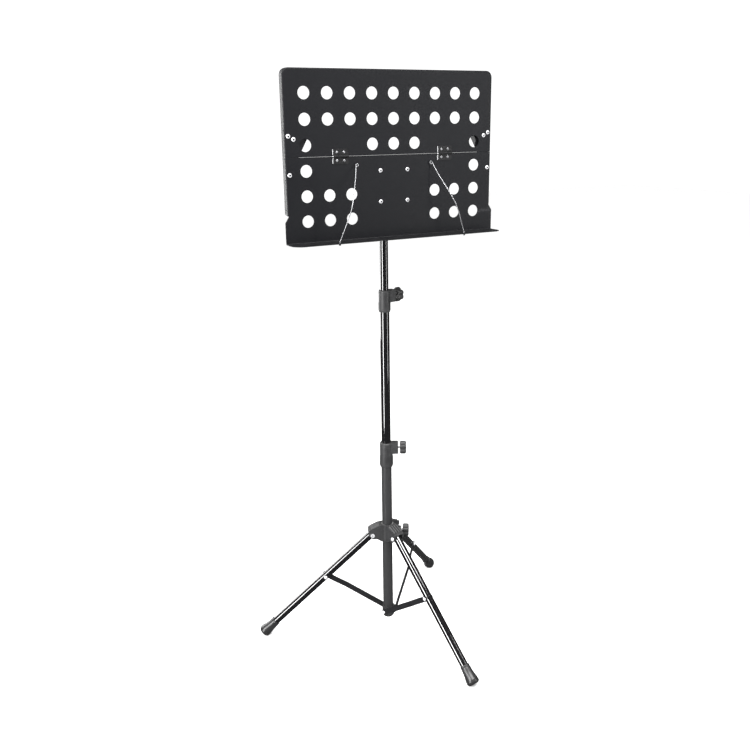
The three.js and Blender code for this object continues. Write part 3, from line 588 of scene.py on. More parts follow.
def buildRepeater():
    # a copy of the pattern piece on every point, turned by the point's "spin" and sized by its "size"
    tree, given, result = nodesTree("repeatedPiece", [
        ("Pattern", "NodeSocketObject", None), ("Scale", "NodeSocketFloat", 1.0),
        ("Material", "NodeSocketMaterial", None)])
    pattern = tree.nodes.new("GeometryNodeObjectInfo")
    spin = tree.nodes.new("GeometryNodeInputNamedAttribute")
    spin.data_type = "FLOAT_VECTOR"
    spin.inputs["Name"].default_value = "spin"
    aim = tree.nodes.new("FunctionNodeEulerToRotation")
    size = tree.nodes.new("GeometryNodeInputNamedAttribute")
    size.data_type = "FLOAT"
    size.inputs["Name"].default_value = "size"
    times = mathNode(tree, "MULTIPLY", size.outputs["Attribute"], given.outputs["Scale"])
    dots = tree.nodes.new("GeometryNodeMeshToPoints")
    spread = tree.nodes.new("GeometryNodeInstanceOnPoints")
    last = tree.nodes.new("GeometryNodeRealizeInstances")
    paint = tree.nodes.new("GeometryNodeSetMaterial")
    linkAll(tree,
            (given.outputs["Geometry"], dots.inputs["Mesh"]),
            (given.outputs["Pattern"], pattern.inputs["Object"]),
            (spin.outputs["Attribute"], aim.inputs["Euler"]),
            (dots.outputs["Points"], spread.inputs["Points"]),
            (pattern.outputs["Geometry"], spread.inputs["Instance"]),
            (aim.outputs["Rotation"], spread.inputs["Rotation"]),
            (times, spread.inputs["Scale"]),
            (spread.outputs["Instances"], last.inputs["Geometry"]),
            (last.outputs["Geometry"], paint.inputs["Geometry"]),
            (given.outputs["Material"], paint.inputs["Material"]),
            (paint.outputs["Geometry"], result.inputs["Geometry"]))
    return tree


perforator, repeater = buildPerforator(), buildRepeater()


def repeated(patternMesh, spots, finish):
    # spots are (matrix in metres, size); the pattern points along +Z and is in millimetres
    pattern = temporary(patternMesh)
    pattern.hide_render = True
    dots = meshFrom([spot.to_translation() for spot, size in spots], [])
    dots.attributes.new("spin", "FLOAT_VECTOR", "POINT")
    dots.attributes.new("size", "FLOAT", "POINT")
    for index, (spot, size) in enumerate(spots):
        dots.attributes["spin"].data[index].vector = spot.to_euler()
        dots.attributes["size"].data[index].value = size
    mesh = runNodes(dots, repeater, Pattern=pattern, Scale=mm, Material=materials[finish])
    bpy.data.objects.remove(pattern)
    return mesh


def pierced(outline, spots, radius, finish, sides=48):
    # a flat sheet inside the outline, with a round hole at each spot, facing +Z
    points = [(p[0], p[1], 0.0) for p in outline]
    rim = [(i, (i + 1) % len(points)) for i in range(len(points))]
    mesh = bpy.data.meshes.new("outline")
    mesh.from_pydata(points + [(x, y, 0.0) for x, y in spots], rim, [])
    mark = mesh.attributes.new("hole", "BOOLEAN", "POINT")
    for index in range(len(points), len(points) + len(spots)):
        mark.data[index].value = True
    return runNodes(mesh, perforator, Hole_Radius=radius, Sides=sides, Material=materials[finish])


def alongAxis(degrees=0.0, z=0.0):
    # a frame on the mast whose X points out at an azimuth; millimetres in, metres out
    return Matrix.Translation((mastX, mastY, z * mm)) @ turn(degrees, "Z")


def metres(matrix):
    # a millimetre placement as a metre one
    result = matrix.copy()
    result.translation *= mm
    return result


towardsX = turn(90, "Y")                                   # +Z of a mesh to +X
towardsFront = turn(90, "X")                               # +Z of a mesh to -Y, +Y to +Z
# +X of a mesh to +Y, +Y to +Z, +Z to +X
edgeOn = Matrix(((0, 0, 1, 0), (1, 0, 0, 0), (0, 1, 0, 0), (0, 0, 0, 1)))
print("helpers ready")


def tubeMesh(tube):
    outer, wall, low, high, edge = (tube[k] for k in ("outer", "wall", "low", "high", "edge"))
    inner = outer - wall
    return turned([(inner, low + edge), (inner + edge, low), (outer - edge, low), (outer, low + edge),
                   (outer, high - edge), (outer - edge, high), (inner + edge, high),
                   (inner, high - edge)], tube["sides"])


lowerTube = dict(outer=12.5, wall=1.1, low=32.0, high=487.0, edge=0.3, sides=96)
middleTube = dict(outer=11.0, wall=1.1, low=395.0, high=853.0, edge=0.3, sides=96)
upperTube = dict(outer=9.5, wall=1.1, low=688.0, high=1068.0, edge=0.3, sides=96)
mast = alongAxis()
makePiece("lowerTube", tubeMesh(lowerTube), "satinTube", "mast", ["lower_tube"], mast)
makePiece("middleTube", tubeMesh(middleTube), "glossTube", "middle", ["middle_tube"], mast)
makePiece("upperTube", tubeMesh(upperTube), "glossTube", "upper", ["upper_tube"], mast)
print("tubes ready")


def collarMesh(collar):
    # a stepped sleeve with a square boss for the clamp screw, bored for its tube
    radius, top, low, bore = collar["radius"], collar["top"], collar["low"], collar["bore"]
    step, waist = collar["step"], collar["waist"]
    shoulder = top - (top - low) * collar["skirt"]
    body = turned([(0, low), (bore + 1.4, low), (radius, low + collar["taper"]),
                   (radius, shoulder - 1.2), (radius - step, shoulder),
                   (radius - step, top - waist), (radius - step - collar["chamfer"], top), (0, top)], 80)
    half, easing = collar["bossWidth"] / 2, collar["bossRound"]
    section = rounded([(0, -half), (collar["bossReach"], -half), (collar["bossReach"], half), (0, half)],
                      [0, easing, easing, 0])
    boss = moved(slab(section, collar["bossHeight"]), shift(z=top - collar["bossHeight"]))
    lip = turned([(0, low - 5), (bore, low - 5), (bore, collar["tubeTop"]), (collar["lip"], collar["tubeTop"]),
                  (collar["lip"], top + 5), (0, top + 5)], 80)
    nose = moved(turned([(0, 0), (collar["nose"], 0), (collar["nose"], 30), (0, 30)], 40),
                 shift(collar["bossReach"] - 1.2, 0, top - collar["bossHeight"] / 2) @ towardsX)
    whole = cut(fused(body, boss), lip, nose)
    return eased(whole, collar["edge"], 3, 32)


lowerCollar = dict(radius=16.3, top=498.0, low=436.0, bore=12.7, step=0.7, skirt=0.55, taper=5.0,
                   waist=2.0, chamfer=1.5, bossReach=28.5, bossWidth=20.0, bossHeight=27.0,
                   bossRound=3.0, tubeTop=487.3, lip=11.25, nose=5.2, edge=0.6)
upperCollar = dict(lowerCollar, radius=13.9, top=864.0, low=816.0, bore=11.2, tubeTop=853.3, lip=10.6,
                   chamfer=0.9)
clamps = {"lower": dict(azimuth=-28.0, z=484.5, body="lower_knob", tip=11.3, start=32.5),
          "upper": dict(azimuth=14.0, z=850.5, body="upper_knob", tip=9.8, start=32.5),
          "hub": dict(azimuth=-31.0, z=268.0, body="hub_knob", tip=12.8, start=38.0)}
makePiece("lowerCollar", collarMesh(lowerCollar), "mouldedPlastic", "mast", ["lower_collar"],
          alongAxis(clamps["lower"]["azimuth"]))
makePiece("upperCollar", collarMesh(upperCollar), "mouldedPlastic", "middle", ["upper_collar"],
          alongAxis(clamps["upper"]["azimuth"]))

knob = dict(radius=16.5, thickness=15.0, lobes=6, depth=3.1, sides=120,
            sections=((0, 0, 0.8), (7.6, 0, 0.8), (8.6, 0, 0.0), (13.6, 0.8, 0.0), (15.3, 1, 0.5),
                      (16.2, 1, 1.7), (16.5, 1, 3.4), (16.5, 1, 10.6), (16.1, 1, 12.8), (15.0, 0.95, 14.3),
                      (13.3, 0.8, 15.0), (11.4, 0.45, 14.9), (10.3, 0.15, 14.3), (9.9, 0, 13.4),
                      (9.4, 0, 13.1), (3.2, 0, 13.1), (2.2, 0, 13.5), (0, 0, 13.6)))


def knobMesh(start):
    # a hand knob with rounded lobes, along +X from its seat
    sections = []
    for radius, share, reach in knob["sections"]:
        if radius == 0:
            sections.append([(start + reach, 0.0, 0.0)])
            continue
        ring = []
        for step in range(knob["sides"]):
            angle = 2 * math.pi * step / knob["sides"]
            hollow = (0.5 + 0.5 * math.cos(knob["lobes"] * angle)) ** 1.5
            r = radius - share * knob["depth"] * hollow
            ring.append((start + reach, r * math.cos(angle), r * math.sin(angle)))
        sections.append(ring)
    return lofted(sections)


thread = dict(radius=3.0, depth=0.55, pitch=1.25, perPitch=6, sides=28, edge=0.7, before=8.5, past=1.5,
              inKnob=10.5)


def screwMesh(tip, end, cutFrom, cutTo):
    # a screw along +X, with a thread cut between two stations
    r = thread["radius"]
    stations = [(tip, r - thread["edge"], 0), (tip + thread["edge"], r, 0), (cutFrom - 0.2, r, 0)]
    count = int((cutTo - cutFrom) / thread["pitch"] * thread["perPitch"])
    for index in range(count + 1):
        stations.append((cutFrom + index * thread["pitch"] / thread["perPitch"], r, 1))
    stations.extend([(cutTo + 0.4, r, 0), (end - 0.3, r, 0), (end, r - 0.3, 0)])
    sections = [[(tip, 0.0, 0.0)]]
    for x, radius, share in stations:
        ring = []
        for step in range(thread["sides"]):
            angle = 2 * math.pi * step / thread["sides"]
            phase = (x / thread["pitch"] + step / thread["sides"]) % 1
            reach = radius - share * thread["depth"] * abs(2 * phase - 1)
            ring.append((x, reach * math.cos(angle), reach * math.sin(angle)))
        sections.append(ring)
    sections.append([(end, 0.0, 0.0)])
    return lofted(sections)


for label, clamp in clamps.items():
    place = alongAxis(clamp["azimuth"], clamp["z"])
    makePiece(label + "ClampKnob", knobMesh(clamp["start"]), "mouldedPlastic", clamp["body"],
              [label + "_clamp_knob"], place, smooth=50)
    screw = screwMesh(clamp["tip"], clamp["start"] + thread["inKnob"], clamp["start"] - thread["before"],
                      clamp["start"] + thread["past"])
    makePiece(label + "ClampScrew", screw, "zincSteel", clamp["body"], [label + "_clamp_screw"], place,
              smooth=50)
print("clamps ready")

bush = dict(outer=12.6, inner=9.7, low=864.3, high=865.9, edge=0.5)
makePiece("upperBush", turned([
    (bush["inner"], bush["low"]), (bush["outer"], bush["low"]), (bush["outer"], bush["high"] - bush["edge"]),
    (bush["outer"] - bush["edge"], bush["high"]), (bush["inner"] + 0.3, bush["high"]),
    (bush["inner"], bush["high"] - 0.3)], 80), "mouldedPlastic", "bush", ["upper_bush"], mast)

plug = dict(profile=((0, 48.0), (10.1, 48.0), (11.1, 47.0), (11.1, 31.7), (12.5, 31.7), (12.5, 29.4),
                     (12.0, 28.7), (10.4, 27.7), (8.2, 26.9), (5.0, 26.4), (0, 26.2)))
makePiece("endPlug", turned(plug["profile"], 80), "mouldedPlastic", "mast", ["end_plug"], mast)

legs = dict(count=3, first=160.0, pivotRadius=38.0, pivotZ=260.0, reach=279.0, drop=253.0,
            radius=9.5, wall=1.1, above=5.0)
legAngle = math.atan2(legs["reach"], legs["drop"])
legLength = math.hypot(legs["reach"], legs["drop"])
azimuths = [legs["first"] + 120 * index for index in range(legs["count"])]

spreader = dict(radius=15.0, bore=12.75, low=33.0, high=57.0, lugWidth=15.5, lugHeight=20.0, offset=4.0,
                edge=0.9)


def spreaderMesh():
    low, high, radius = spreader["low"], spreader["high"], spreader["radius"]
    ring = turned([(0, low), (radius, low), (radius, high), (0, high)], 80)
    half, tall = spreader["lugWidth"] / 2, spreader["lugHeight"] / 2
    section = rounded([(-half, -tall), (half, -tall), (half, tall), (-half, tall)], 3.0)
    lugs = []
    for azimuth in azimuths:
        lug = moved(slab(section, radius), towardsFront)
        lugs.append(moved(lug, turn(azimuth, "Z") @ shift(spreader["offset"], 0, (low + high) / 2)))
    bore = turned([(0, low - 5), (spreader["bore"], low - 5), (spreader["bore"], high + 5), (0, high + 5)], 80)
    return eased(cut(fused(ring, *lugs), bore), spreader["edge"], 3, 32)


makePiece("spreaderCollar", spreaderMesh(), "mouldedPlastic", "mast", ["spreader_collar"], mast)

hub = dict(sleeve=16.8, low=241.0, skirt=243.0, top=286.0, wing=47.0, wingWidth=27.0, roofDrop=13.0, roof=3.6,
           gap=20.2, bore=12.9, bushBore=14.9, bushDepth=20.0, inner=18.5, edge=0.9, bossRadius=10.0,
           bossReach=34.0)
hubClamp = clamps["hub"]


def hubMesh():
    top, low, wing = hub["top"], hub["skirt"], hub["wing"]
    roofEnd = top - hub["roofDrop"]
    body = turned([(0, hub["low"]), (hub["sleeve"] - 1, hub["low"]), (hub["sleeve"], hub["low"] + 1),
                   (hub["sleeve"], top), (0, top)], 80)
    side = rounded([(0, low), (hub["sleeve"], low), (hub["sleeve"] + 10, low + 6.5), (wing - 9, low + 7),
                    (wing, low + 16), (wing, roofEnd - 1), (wing - 3.5, roofEnd + 1.6), (hub["sleeve"], top),
                    (0, top)], [0, 1, 10, 6, 6, 3, 3, 2, 0], steps=6)
    slope = hub["roofDrop"] / (wing - hub["sleeve"])
    pocket = [(hub["inner"], low - 15), (wing + 15, low - 15),
              (wing + 15, top - hub["roof"] - hub["roofDrop"] - 15 * slope), (hub["inner"], top - hub["roof"])]
    wings, cutters = [], []
    for azimuth in azimuths:
        aim = turn(azimuth, "Z")
        wings.append(moved(slab(side, hub["wingWidth"]), aim @ shift(y=hub["wingWidth"] / 2) @ towardsFront))
        cutters.append(moved(slab(pocket, hub["gap"]), aim @ shift(y=hub["gap"] / 2) @ towardsFront))
    aim = turn(hubClamp["azimuth"], "Z") @ shift(z=hubClamp["z"]) @ towardsX
    boss = moved(turned([(0, 0), (hub["bossRadius"], 0), (hub["bossRadius"], hub["bossReach"] - 1),
                         (hub["bossRadius"] - 1, hub["bossReach"]), (0, hub["bossReach"])], 64), aim)
    bores = [turned([(0, low - 20), (hub["bore"], low - 20), (hub["bore"], top - hub["bushDepth"]),
                     (hub["bushBore"], top - hub["bushDepth"]), (hub["bushBore"], top + 5), (0, top + 5)], 80)]
    bores.append(moved(turned([(0, hub["bossReach"] - 1.2), (5.2, hub["bossReach"] - 1.2),
                               (5.2, 40), (0, 40)], 40), aim))
    return eased(cut(fused(body, *wings, boss), *cutters, *bores), hub["edge"], 3, 32)


makePiece("hubShell", hubMesh(), "mouldedPlastic", "hub_body", ["hub"], mast)

ribs = dict(across=(-9.6, -3.2, 3.2, 9.6), width=1.7, tall=2.8, inner=20.5, outer=41.5)


def ribPattern():
    # one raised rib along X with rounded ends and a rounded top, its foot at z = 0
    half = (ribs["outer"] - ribs["inner"]) / 2
    slope = math.atan2(hub["roofDrop"], hub["wing"] - hub["sleeve"])
    reach = half / math.cos(slope)
    bar = slab(rounded([(-reach, -ribs["width"] / 2), (reach, -ribs["width"] / 2), (reach, ribs["width"] / 2),
                        (-reach, ribs["width"] / 2)], ribs["width"] / 2.05), ribs["tall"] + 1.0)
    return eased(moved(bar, shift(z=-1.0)), 0.45, 2, 50)


def ribSpots():
    spots = []
    run = hub["wing"] - 3.5 - hub["sleeve"]
    slope = math.atan2(hub["roofDrop"] - 1.6, run)
    middle = (ribs["inner"] + ribs["outer"]) / 2
    height = hub["top"] - (middle - hub["sleeve"]) * math.tan(slope)
    for azimuth in azimuths:
        for across in ribs["across"]:
            local = turn(azimuth, "Z") @ shift(middle, across, height) @ Matrix.Rotation(slope, 4, "Y")
            spots.append((mast @ metres(local), 1.0))
    return spots


# the ribs take the lighter finish, a painted highlight along the ridges
makePiece("hubRibs", repeated(ribPattern(), ribSpots(), "ribPaintedHighlight"), "ribPaintedHighlight", "hub_body", [],
          scale=1.0)

hubBush = dict(outer=14.6, inner=12.7, low=266.3, high=285.4)
makePiece("hubBush", turned([
    (hubBush["inner"], hubBush["low"]), (hubBush["outer"], hubBush["low"]),
    (hubBush["outer"], hubBush["high"] - 0.6), (hubBush["outer"] - 0.6, hubBush["high"]),
    (hubBush["inner"] + 0.9, hubBush["high"]), (hubBush["inner"], hubBush["high"] - 0.9)], 80),
    "greyNylon", "hub_body", ["hub_bush"], mast)
print("hub ready")

foot = dict(ground=40, profile=(
    (0, 5.7), (9.8, 5.7), (9.8, 46), (10.4, 46), (11.1, 45.4), (11.3, 44.0), (11.3, 41.5), (10.8, 41.0),
    (10.85, 39.8), (11.4, 39.2), (11.5, 34), (11.8, 28), (12.6, 22), (13.8, 15), (14.6, 11.5), (14.7, 9.8),
    (13.9, 9.2), (13.9, 8.2), (14.7, 7.6), (14.7, 6.0), (14.4, 4.6), (13.6, 3.0), (12.2, 1.2), (10.4, 0.3),
    (9.0, 0), (0, 0)))


def footMesh():
    # the boot, ringed at its neck and sole, with its flat on the ground
    half = foot["ground"]
    ground = moved(slab([(-half, -half), (half, -half), (half, half), (-half, half)], 30),
                   Matrix.Rotation(legAngle, 4, "Y") @ shift(legs["reach"], 0, -legs["pivotZ"] - 30))
    return cut(turned([(radius, z - legLength) for radius, z in foot["profile"]], 72), ground)


legTube = dict(outer=legs["radius"], wall=legs["wall"], low=-legLength + 6, high=legs["above"], edge=0.4,
               sides=80)
strut = dict(onLeg=160.0, width=13.5, thickness=2.5, start=26.0, end=66.0, lowRadius=4.0, lowZ=43.0,
             hole=2.2, edge=0.35, bendRound=40.0)
strutRun = legs["pivotRadius"] + strut["onLeg"] * math.sin(legAngle) - strut["lowRadius"]
strutDrop = legs["pivotZ"] - strut["onLeg"] * math.cos(legAngle) - strut["lowZ"]
strutAngle = math.atan2(strutRun, strutDrop)
strutLength = math.hypot(strutRun, strutDrop)
legSide, mastSide = legs["radius"] + 0.3, spreader["radius"] + 0.3


def strutMesh():
    # a flat bar with round ends, joggled to pass from the leg's side to the collar's
    half, thick = strut["width"] / 2, strut["thickness"]
    bar = [Vector((strutLength + half * math.sin(a), -half * math.cos(a)))
           for a in (math.pi * i / 20 for i in range(21))]
    bar += [Vector((-half * math.sin(a), half * math.cos(a))) for a in (math.pi * i / 20 for i in range(21))]
    blank = moved(slab(bar, 40), towardsFront)
    line = [(-20, legSide), (strut["start"], legSide), (strut["end"], mastSide), (strutLength + 20, mastSide)]
    inner = rounded(line, [0, strut["bendRound"], strut["bendRound"], 0], closed=False, steps=6)
    outer = rounded([(x, y + thick) for x, y in line], [0, strut["bendRound"], strut["bendRound"], 0],
                    closed=False, steps=6)
    ribbon = moved(slab(inner + outer[::-1], 40), Matrix.Scale(-1, 4, (0, 1, 0)) @ shift(z=-20))
    outward(ribbon)
    return eased(boolean(blank, [ribbon], "INTERSECT"), strut["edge"], 2, 50)


def domeMesh(head, height, shank, depth, dimple=0.0, sides=32):
    # a round rivet head on a shank, pointing along +Z from its seat
    profile = [(0, height - dimple)]
    if dimple:
        profile += [(head * 0.38, height - dimple), (head * 0.43, height - dimple * 0.7), (head * 0.48, height)]
    else:
        profile += [(head * 0.25, height * 0.985)]
    profile += [(head * 0.6, height * 0.86), (head * 0.8, height * 0.64), (head * 0.93, height * 0.38),
                (head, height * 0.14), (head, 0), (shank, 0), (shank, -depth), (0, -depth)]
    return turned(profile, sides)


def boltMesh(bolt):
    # a domed head, its shank, and a nut with a washer on the far side
    head = domeMesh(bolt["head"], bolt["headHeight"], bolt["shank"], bolt["grip"] + bolt["nutHeight"], 0.5)
    corners = circle(bolt["nut"], sides=6)
    nut = moved(eased(slab(corners, bolt["nutHeight"]), 0.35, 2, 40), shift(z=-bolt["grip"] - bolt["nutHeight"]))
    return joined(head, nut)


pivotBolt = dict(head=5.0, headHeight=2.6, shank=2.5, grip=27.6, nutHeight=2.6, nut=5.4)
strutRivet = dict(head=4.5, height=2.0, shank=2.0, depth=5.0, dimple=0.6)
farRivet = dict(head=4.3, height=2.2, shank=2.0, depth=0.6, dimple=0.5)
spreaderRivet = dict(strutRivet, depth=3.5)
legFrames = []
for index, azimuth in enumerate(azimuths):
    number = index + 1
    spoke = mast @ turn(azimuth, "Z")
    hinge = spoke @ metres(shift(legs["pivotRadius"], 0, legs["pivotZ"]))
    swung = hinge @ Matrix.Rotation(-legAngle, 4, "Y")
    bar = swung @ metres(shift(z=-strut["onLeg"])) @ Matrix.Rotation(legAngle + math.pi / 2 + strutAngle, 4, "Y")
    legFrames.append((hinge, swung, bar))
    leg, strutBody = f"leg_body_{number}", f"strut_body_{number}"
    makePiece(f"leg{number}", tubeMesh(legTube), "glossTube", leg, [f"leg_{number}"], swung)
    makePiece(f"foot{number}", footMesh(), "footRubber", leg, [f"foot_{number}"], swung, smooth=50)
    makePiece(f"strut{number}", strutMesh(), "blackSteel", strutBody, [f"strut_{number}"], bar)
    rivetPlace = swung @ metres(shift(0, -(legSide + strut["thickness"] + 0.3), -strut["onLeg"])) @ towardsFront
    makePiece(f"strutRivet{number}", repeated(domeMesh(**strutRivet), [(rivetPlace, 1.0)], "zincSteel"),
              "zincSteel", leg, [f"strut_rivet_{number}"], scale=1.0)
    farPlace = swung @ metres(shift(0, legs["radius"] - 0.4, -strut["onLeg"])) @ turn(-90, "X")
    makePiece(f"farRivet{number}", repeated(domeMesh(**farRivet), [(farPlace, 1.0)], "zincSteel"),
              "zincSteel", leg, [], scale=1.0)
    rivetPlace = bar @ metres(shift(strutLength, -(mastSide + strut["thickness"] + 0.3), 0)) @ towardsFront
    makePiece(f"spreaderRivet{number}", repeated(domeMesh(**spreaderRivet), [(rivetPlace, 1.0)],
              "zincSteel"), "zincSteel", strutBody, [f"spreader_rivet_{number}"], scale=1.0)
boltSpots = [(hinge @ metres(shift(y=-hub["wingWidth"] / 2 - 0.3)) @ towardsFront, 1.0)
             for hinge, swung, bar in legFrames]
makePiece("pivotBolts", repeated(boltMesh(pivotBolt), boltSpots, "zincSteel"), "zincSteel", "hub_body",
          [f"pivot_bolt_{index + 1}" for index in range(legs["count"])], scale=1.0)
print("tripod ready")

desk = Matrix.Translation((mastX, mastY, tiltPoint.z))     # X across, Y back, Z up from the tilt bolt
front, gauge = -52.0, 1.2
leaf = dict(half=244.0, trayHalf=250.0, trayTop=-108.0, hinge=62.7, top=232.0, gap=0.16, bend=2.4, flangeBack=-35.8,
            corner=14.0, step=44.0, flangeEnd=56.0, slant=3.0, trayDepth=48.0, trayCorner=28.0, trayBend=1.6,
            bendSteps=5, edge=0.22)
holes = dict(pitch=50.0, radius=12.5, firstRow=185.5, rows=(
    range(9), range(9), (0, 3, 4, 5, 8), (0, 8), (0, 1, 2, 6, 7, 8), (0, 1, 2, 6, 7, 8)))


def holeSpots(start, end):
    return [((column - 4) * holes["pitch"], holes["firstRow"] - row * holes["pitch"])
            for row in range(start, end) for column in holes["rows"][row]]


def foldedRows(path, normals, low=None):
    # the bend and the flange that follow an edge of the face, as rows of points
    rows = []
    bend, back = leaf["bend"], leaf["flangeBack"]
    for step in range(leaf["bendSteps"] + 1):
        angle = math.pi / 2 * step / leaf["bendSteps"]
        rows.append((bend * math.sin(angle), front + bend * (1 - math.cos(angle))))
    rows.append((bend, (front + back) / 2))
    rows.append((bend, back))
    result = []
    for out, y in rows:
        row = [Vector((p[0] + n[0] * out, y, p[1] + n[1] * out)) for p, n in zip(path, normals)]
        if low is not None:
            row[0].z = low + (y - front) / (back - front) * leaf["slant"]
        result.append(row)
    return result


def addRows(work, rows):
    grid = [[work.verts.new(p) for p in row] for row in rows]
    for first, second in zip(grid, grid[1:]):
        for i in range(len(first) - 1):
            work.faces.new((first[i], first[i + 1], second[i + 1], second[i]))


def sheetMetal(face, rowSets, plates=()):
    # the face, its bends and flanges as one skin, given its thickness behind
    work = bmesh.new()
    work.from_mesh(face)
    for plate in plates:
        work.from_mesh(plate)
    for rows in rowSets:
        addRows(work, rows)
    bmesh.ops.remove_doubles(work, verts=work.verts, dist=0.004)
    bmesh.ops.recalc_face_normals(work, faces=work.faces)
    work.faces.ensure_lookup_table()
    work.normal_update()
    largest = max((f for f in work.faces if abs(f.normal.y) > 0.99), key=lambda f: f.calc_area())
    if largest.normal.y > 0:
        bmesh.ops.reverse_faces(work, faces=work.faces)
    mesh = bpy.data.meshes.new("sheet")
    work.to_mesh(mesh)
    work.free()
    thing = temporary(mesh)
    solid = thing.modifiers.new("thickness", "SOLIDIFY")
    solid.thickness = gauge
    solid.offset = -1.0
    solid.use_even_offset = True
    solid.use_rim = True
    return eased(settled(thing), leaf["edge"], 2, 55)


def upperPath():
    half, top, bend, corner = leaf["half"], leaf["top"], leaf["bend"], leaf["corner"]
    low, inner, radius = leaf["hinge"] + leaf["gap"], half - bend, corner - bend
    path, normals = [], []
    for z in (low, low + 55, low + 110):
        path.append((inner, z))
        normals.append((1, 0))
    for step in range(9):
        angle = math.pi / 2 * step / 8
        path.append((inner - radius + radius * math.cos(angle), top - corner + radius * math.sin(angle)))
        normals.append((math.cos(angle), math.sin(angle)))
    count = len(path)
    path += [(-x, z) for x, z in path[count - 1::-1]]
    normals += [(-x, z) for x, z in normals[count - 1::-1]]
    return path, normals


def upperLeafMesh():
    path, normals = upperPath()
    face = pierced(path, holeSpots(0, 3), holes["radius"], "powderCoat")
    face = moved(face, shift(y=front) @ towardsFront)
    return sheetMetal(face, [foldedRows(path, normals)])


def lowerLeafMesh():
    inner, low, top = leaf["half"] - leaf["bend"], leaf["trayTop"], leaf["hinge"] - leaf["gap"]
    turnIn, wide, fold = leaf["trayBend"], leaf["trayHalf"], leaf["flangeEnd"] + low
    levels = [fold, fold + 30, fold + 60, top]
    right = [(wide, low + turnIn), (wide, low + leaf["step"] - 1.5), (wide - 0.6, low + leaf["step"])]
    right += [(inner, z) for z in levels]
    path = right + [(-x, z) for x, z in right[::-1]]
    face = pierced(path, holeSpots(3, 6), holes["radius"], "powderCoat")
    face = moved(face, shift(y=front) @ towardsFront)
    side = [(inner, z) for z in levels]
    sets = [foldedRows(side, [(1, 0)] * len(side), fold)]
    mirror = foldedRows([(-x, z) for x, z in side], [(-1, 0)] * len(side), fold)
    sets.append(mirror)
    rows = []
    for step in range(leaf["bendSteps"] + 1):
        angle = math.pi / 2 * step / leaf["bendSteps"]
        y = front - turnIn * (1 - math.cos(angle))
        z = low + turnIn * (1 - math.sin(angle))
        rows.append([Vector((x, y, z)) for x in (-wide, wide)])
    depth, corner = leaf["trayDepth"], leaf["trayCorner"]
    plate = rounded([(-wide, front - turnIn), (-wide, front - depth), (wide, front - depth),
                     (wide, front - turnIn)], [0, corner, corner, 0], steps=10)
    spots = [(side * pageWire["across"], front - pageWire["forward"]) for side in (-1, 1)]
    tray = moved(pierced(plate, spots, pageWire["hole"], "powderCoat", 20), shift(z=low))
    sets.append(rows)
    return sheetMetal(face, sets, [tray])


pageWire = dict(across=150.0, forward=43.0, hole=1.6, radius=0.85, below=4.4, sides=16, eye=2.7,
                bends=((149.6, 43.1, 3), (124, 47.6, 67.5), (99, 17, 128), (91, 4, 152)))
makePiece("upperDesk", upperLeafMesh(), "powderCoat", "upper_leaf", ["upper_desk"], desk,
          smooth=42)
makePiece("lowerDesk", lowerLeafMesh(), "powderCoat", "desk", ["lower_desk"], desk, smooth=42)
print("desk leaves ready")

bracket = dict(width=86.0, height=92.0, sheet=2.0, round=8.0, z=-0.5, ear=13.0, earHeight=46.0, gap=10.3,
               spacing=64.4, hole=3.4, bend=3.0, edge=0.4)
backSkin = front + gauge


def bracketMesh():
    half, tall, sheet = bracket["width"] / 2, bracket["height"] / 2, bracket["sheet"]
    back = backSkin + 0.3
    plate = slab(rounded([(-half, -tall), (half, -tall), (half, tall), (-half, tall)], bracket["round"]), sheet)
    plate = moved(plate, shift(0, back + sheet, bracket["z"]) @ towardsFront)
    ear, rise = bracket["ear"], bracket["earHeight"] / 2
    arc = [(ear * math.sin(a), -ear * math.cos(a)) for a in (math.pi * i / 24 for i in range(25))]
    outline = [(back + 0.2, -rise), (back + sheet + 3, -rise + 0.6)] + arc + [(back + sheet + 3, rise - 0.6),
                                                                           (back + 0.2, rise)]
    ears = []
    for sign in (-1, 1):
        start = bracket["gap"] if sign > 0 else -bracket["gap"] - sheet
        ears.append(moved(slab([Vector(p) for p in outline], sheet), shift(start) @ edgeOn))
    fillets = []
    for sign in (-1, 1):
        # the inside of each bend between an ear and the plate
        wide, edge = bracket["bend"], sign * (bracket["gap"] + sheet)
        arcPoints = [(edge + sign * wide * (1 - math.cos(a)), back + sheet + wide * (1 - math.sin(a)))
                     for a in (math.pi / 2 * i / 6 for i in range(7))]
        corner = [(edge - sign * 0.4, back + sheet + wide), (edge - sign * 0.4, back + sheet - 0.4),
                  (edge + sign * wide, back + sheet - 0.4)]
        fillets.append(moved(slab([Vector(p) for p in arcPoints + corner[::-1]], 2 * rise - 4), shift(z=-rise + 2)))
        outward(fillets[-1])
    bore = moved(turned([(0, -30), (bracket["hole"], -30), (bracket["hole"], 30), (0, 30)], 32), towardsX)
    return eased(cut(fused(plate, *ears, *fillets), bore), bracket["edge"], 2, 45)


makePiece("tiltBracket", bracketMesh(), "blackSteel", "desk", ["tilt_bracket"], desk)

rivetSpots = [(i * bracket["spacing"] / 2, bracket["z"] + j * bracket["spacing"] / 2)
              for i in (-1, 1) for j in (-1, 1)]
deskRivet = dict(head=4.3, height=1.6, shank=2.4, grip=3.8, dimple=1.3,
                 tail=((0, -1.2), (3.7, -1.2), (4.0, -1.0), (4.0, -0.35), (3.6, 0.15), (2.4, 0.2), (2.0, 0),
                       (0, 0)))


def deskRivetMesh():
    head = domeMesh(deskRivet["head"], deskRivet["height"], deskRivet["shank"], deskRivet["grip"],
                    deskRivet["dimple"])
    tail = moved(turned(deskRivet["tail"], 32), shift(z=-deskRivet["grip"]) @ Matrix.Rotation(math.pi, 4, "X"))
    return joined(head, tail)


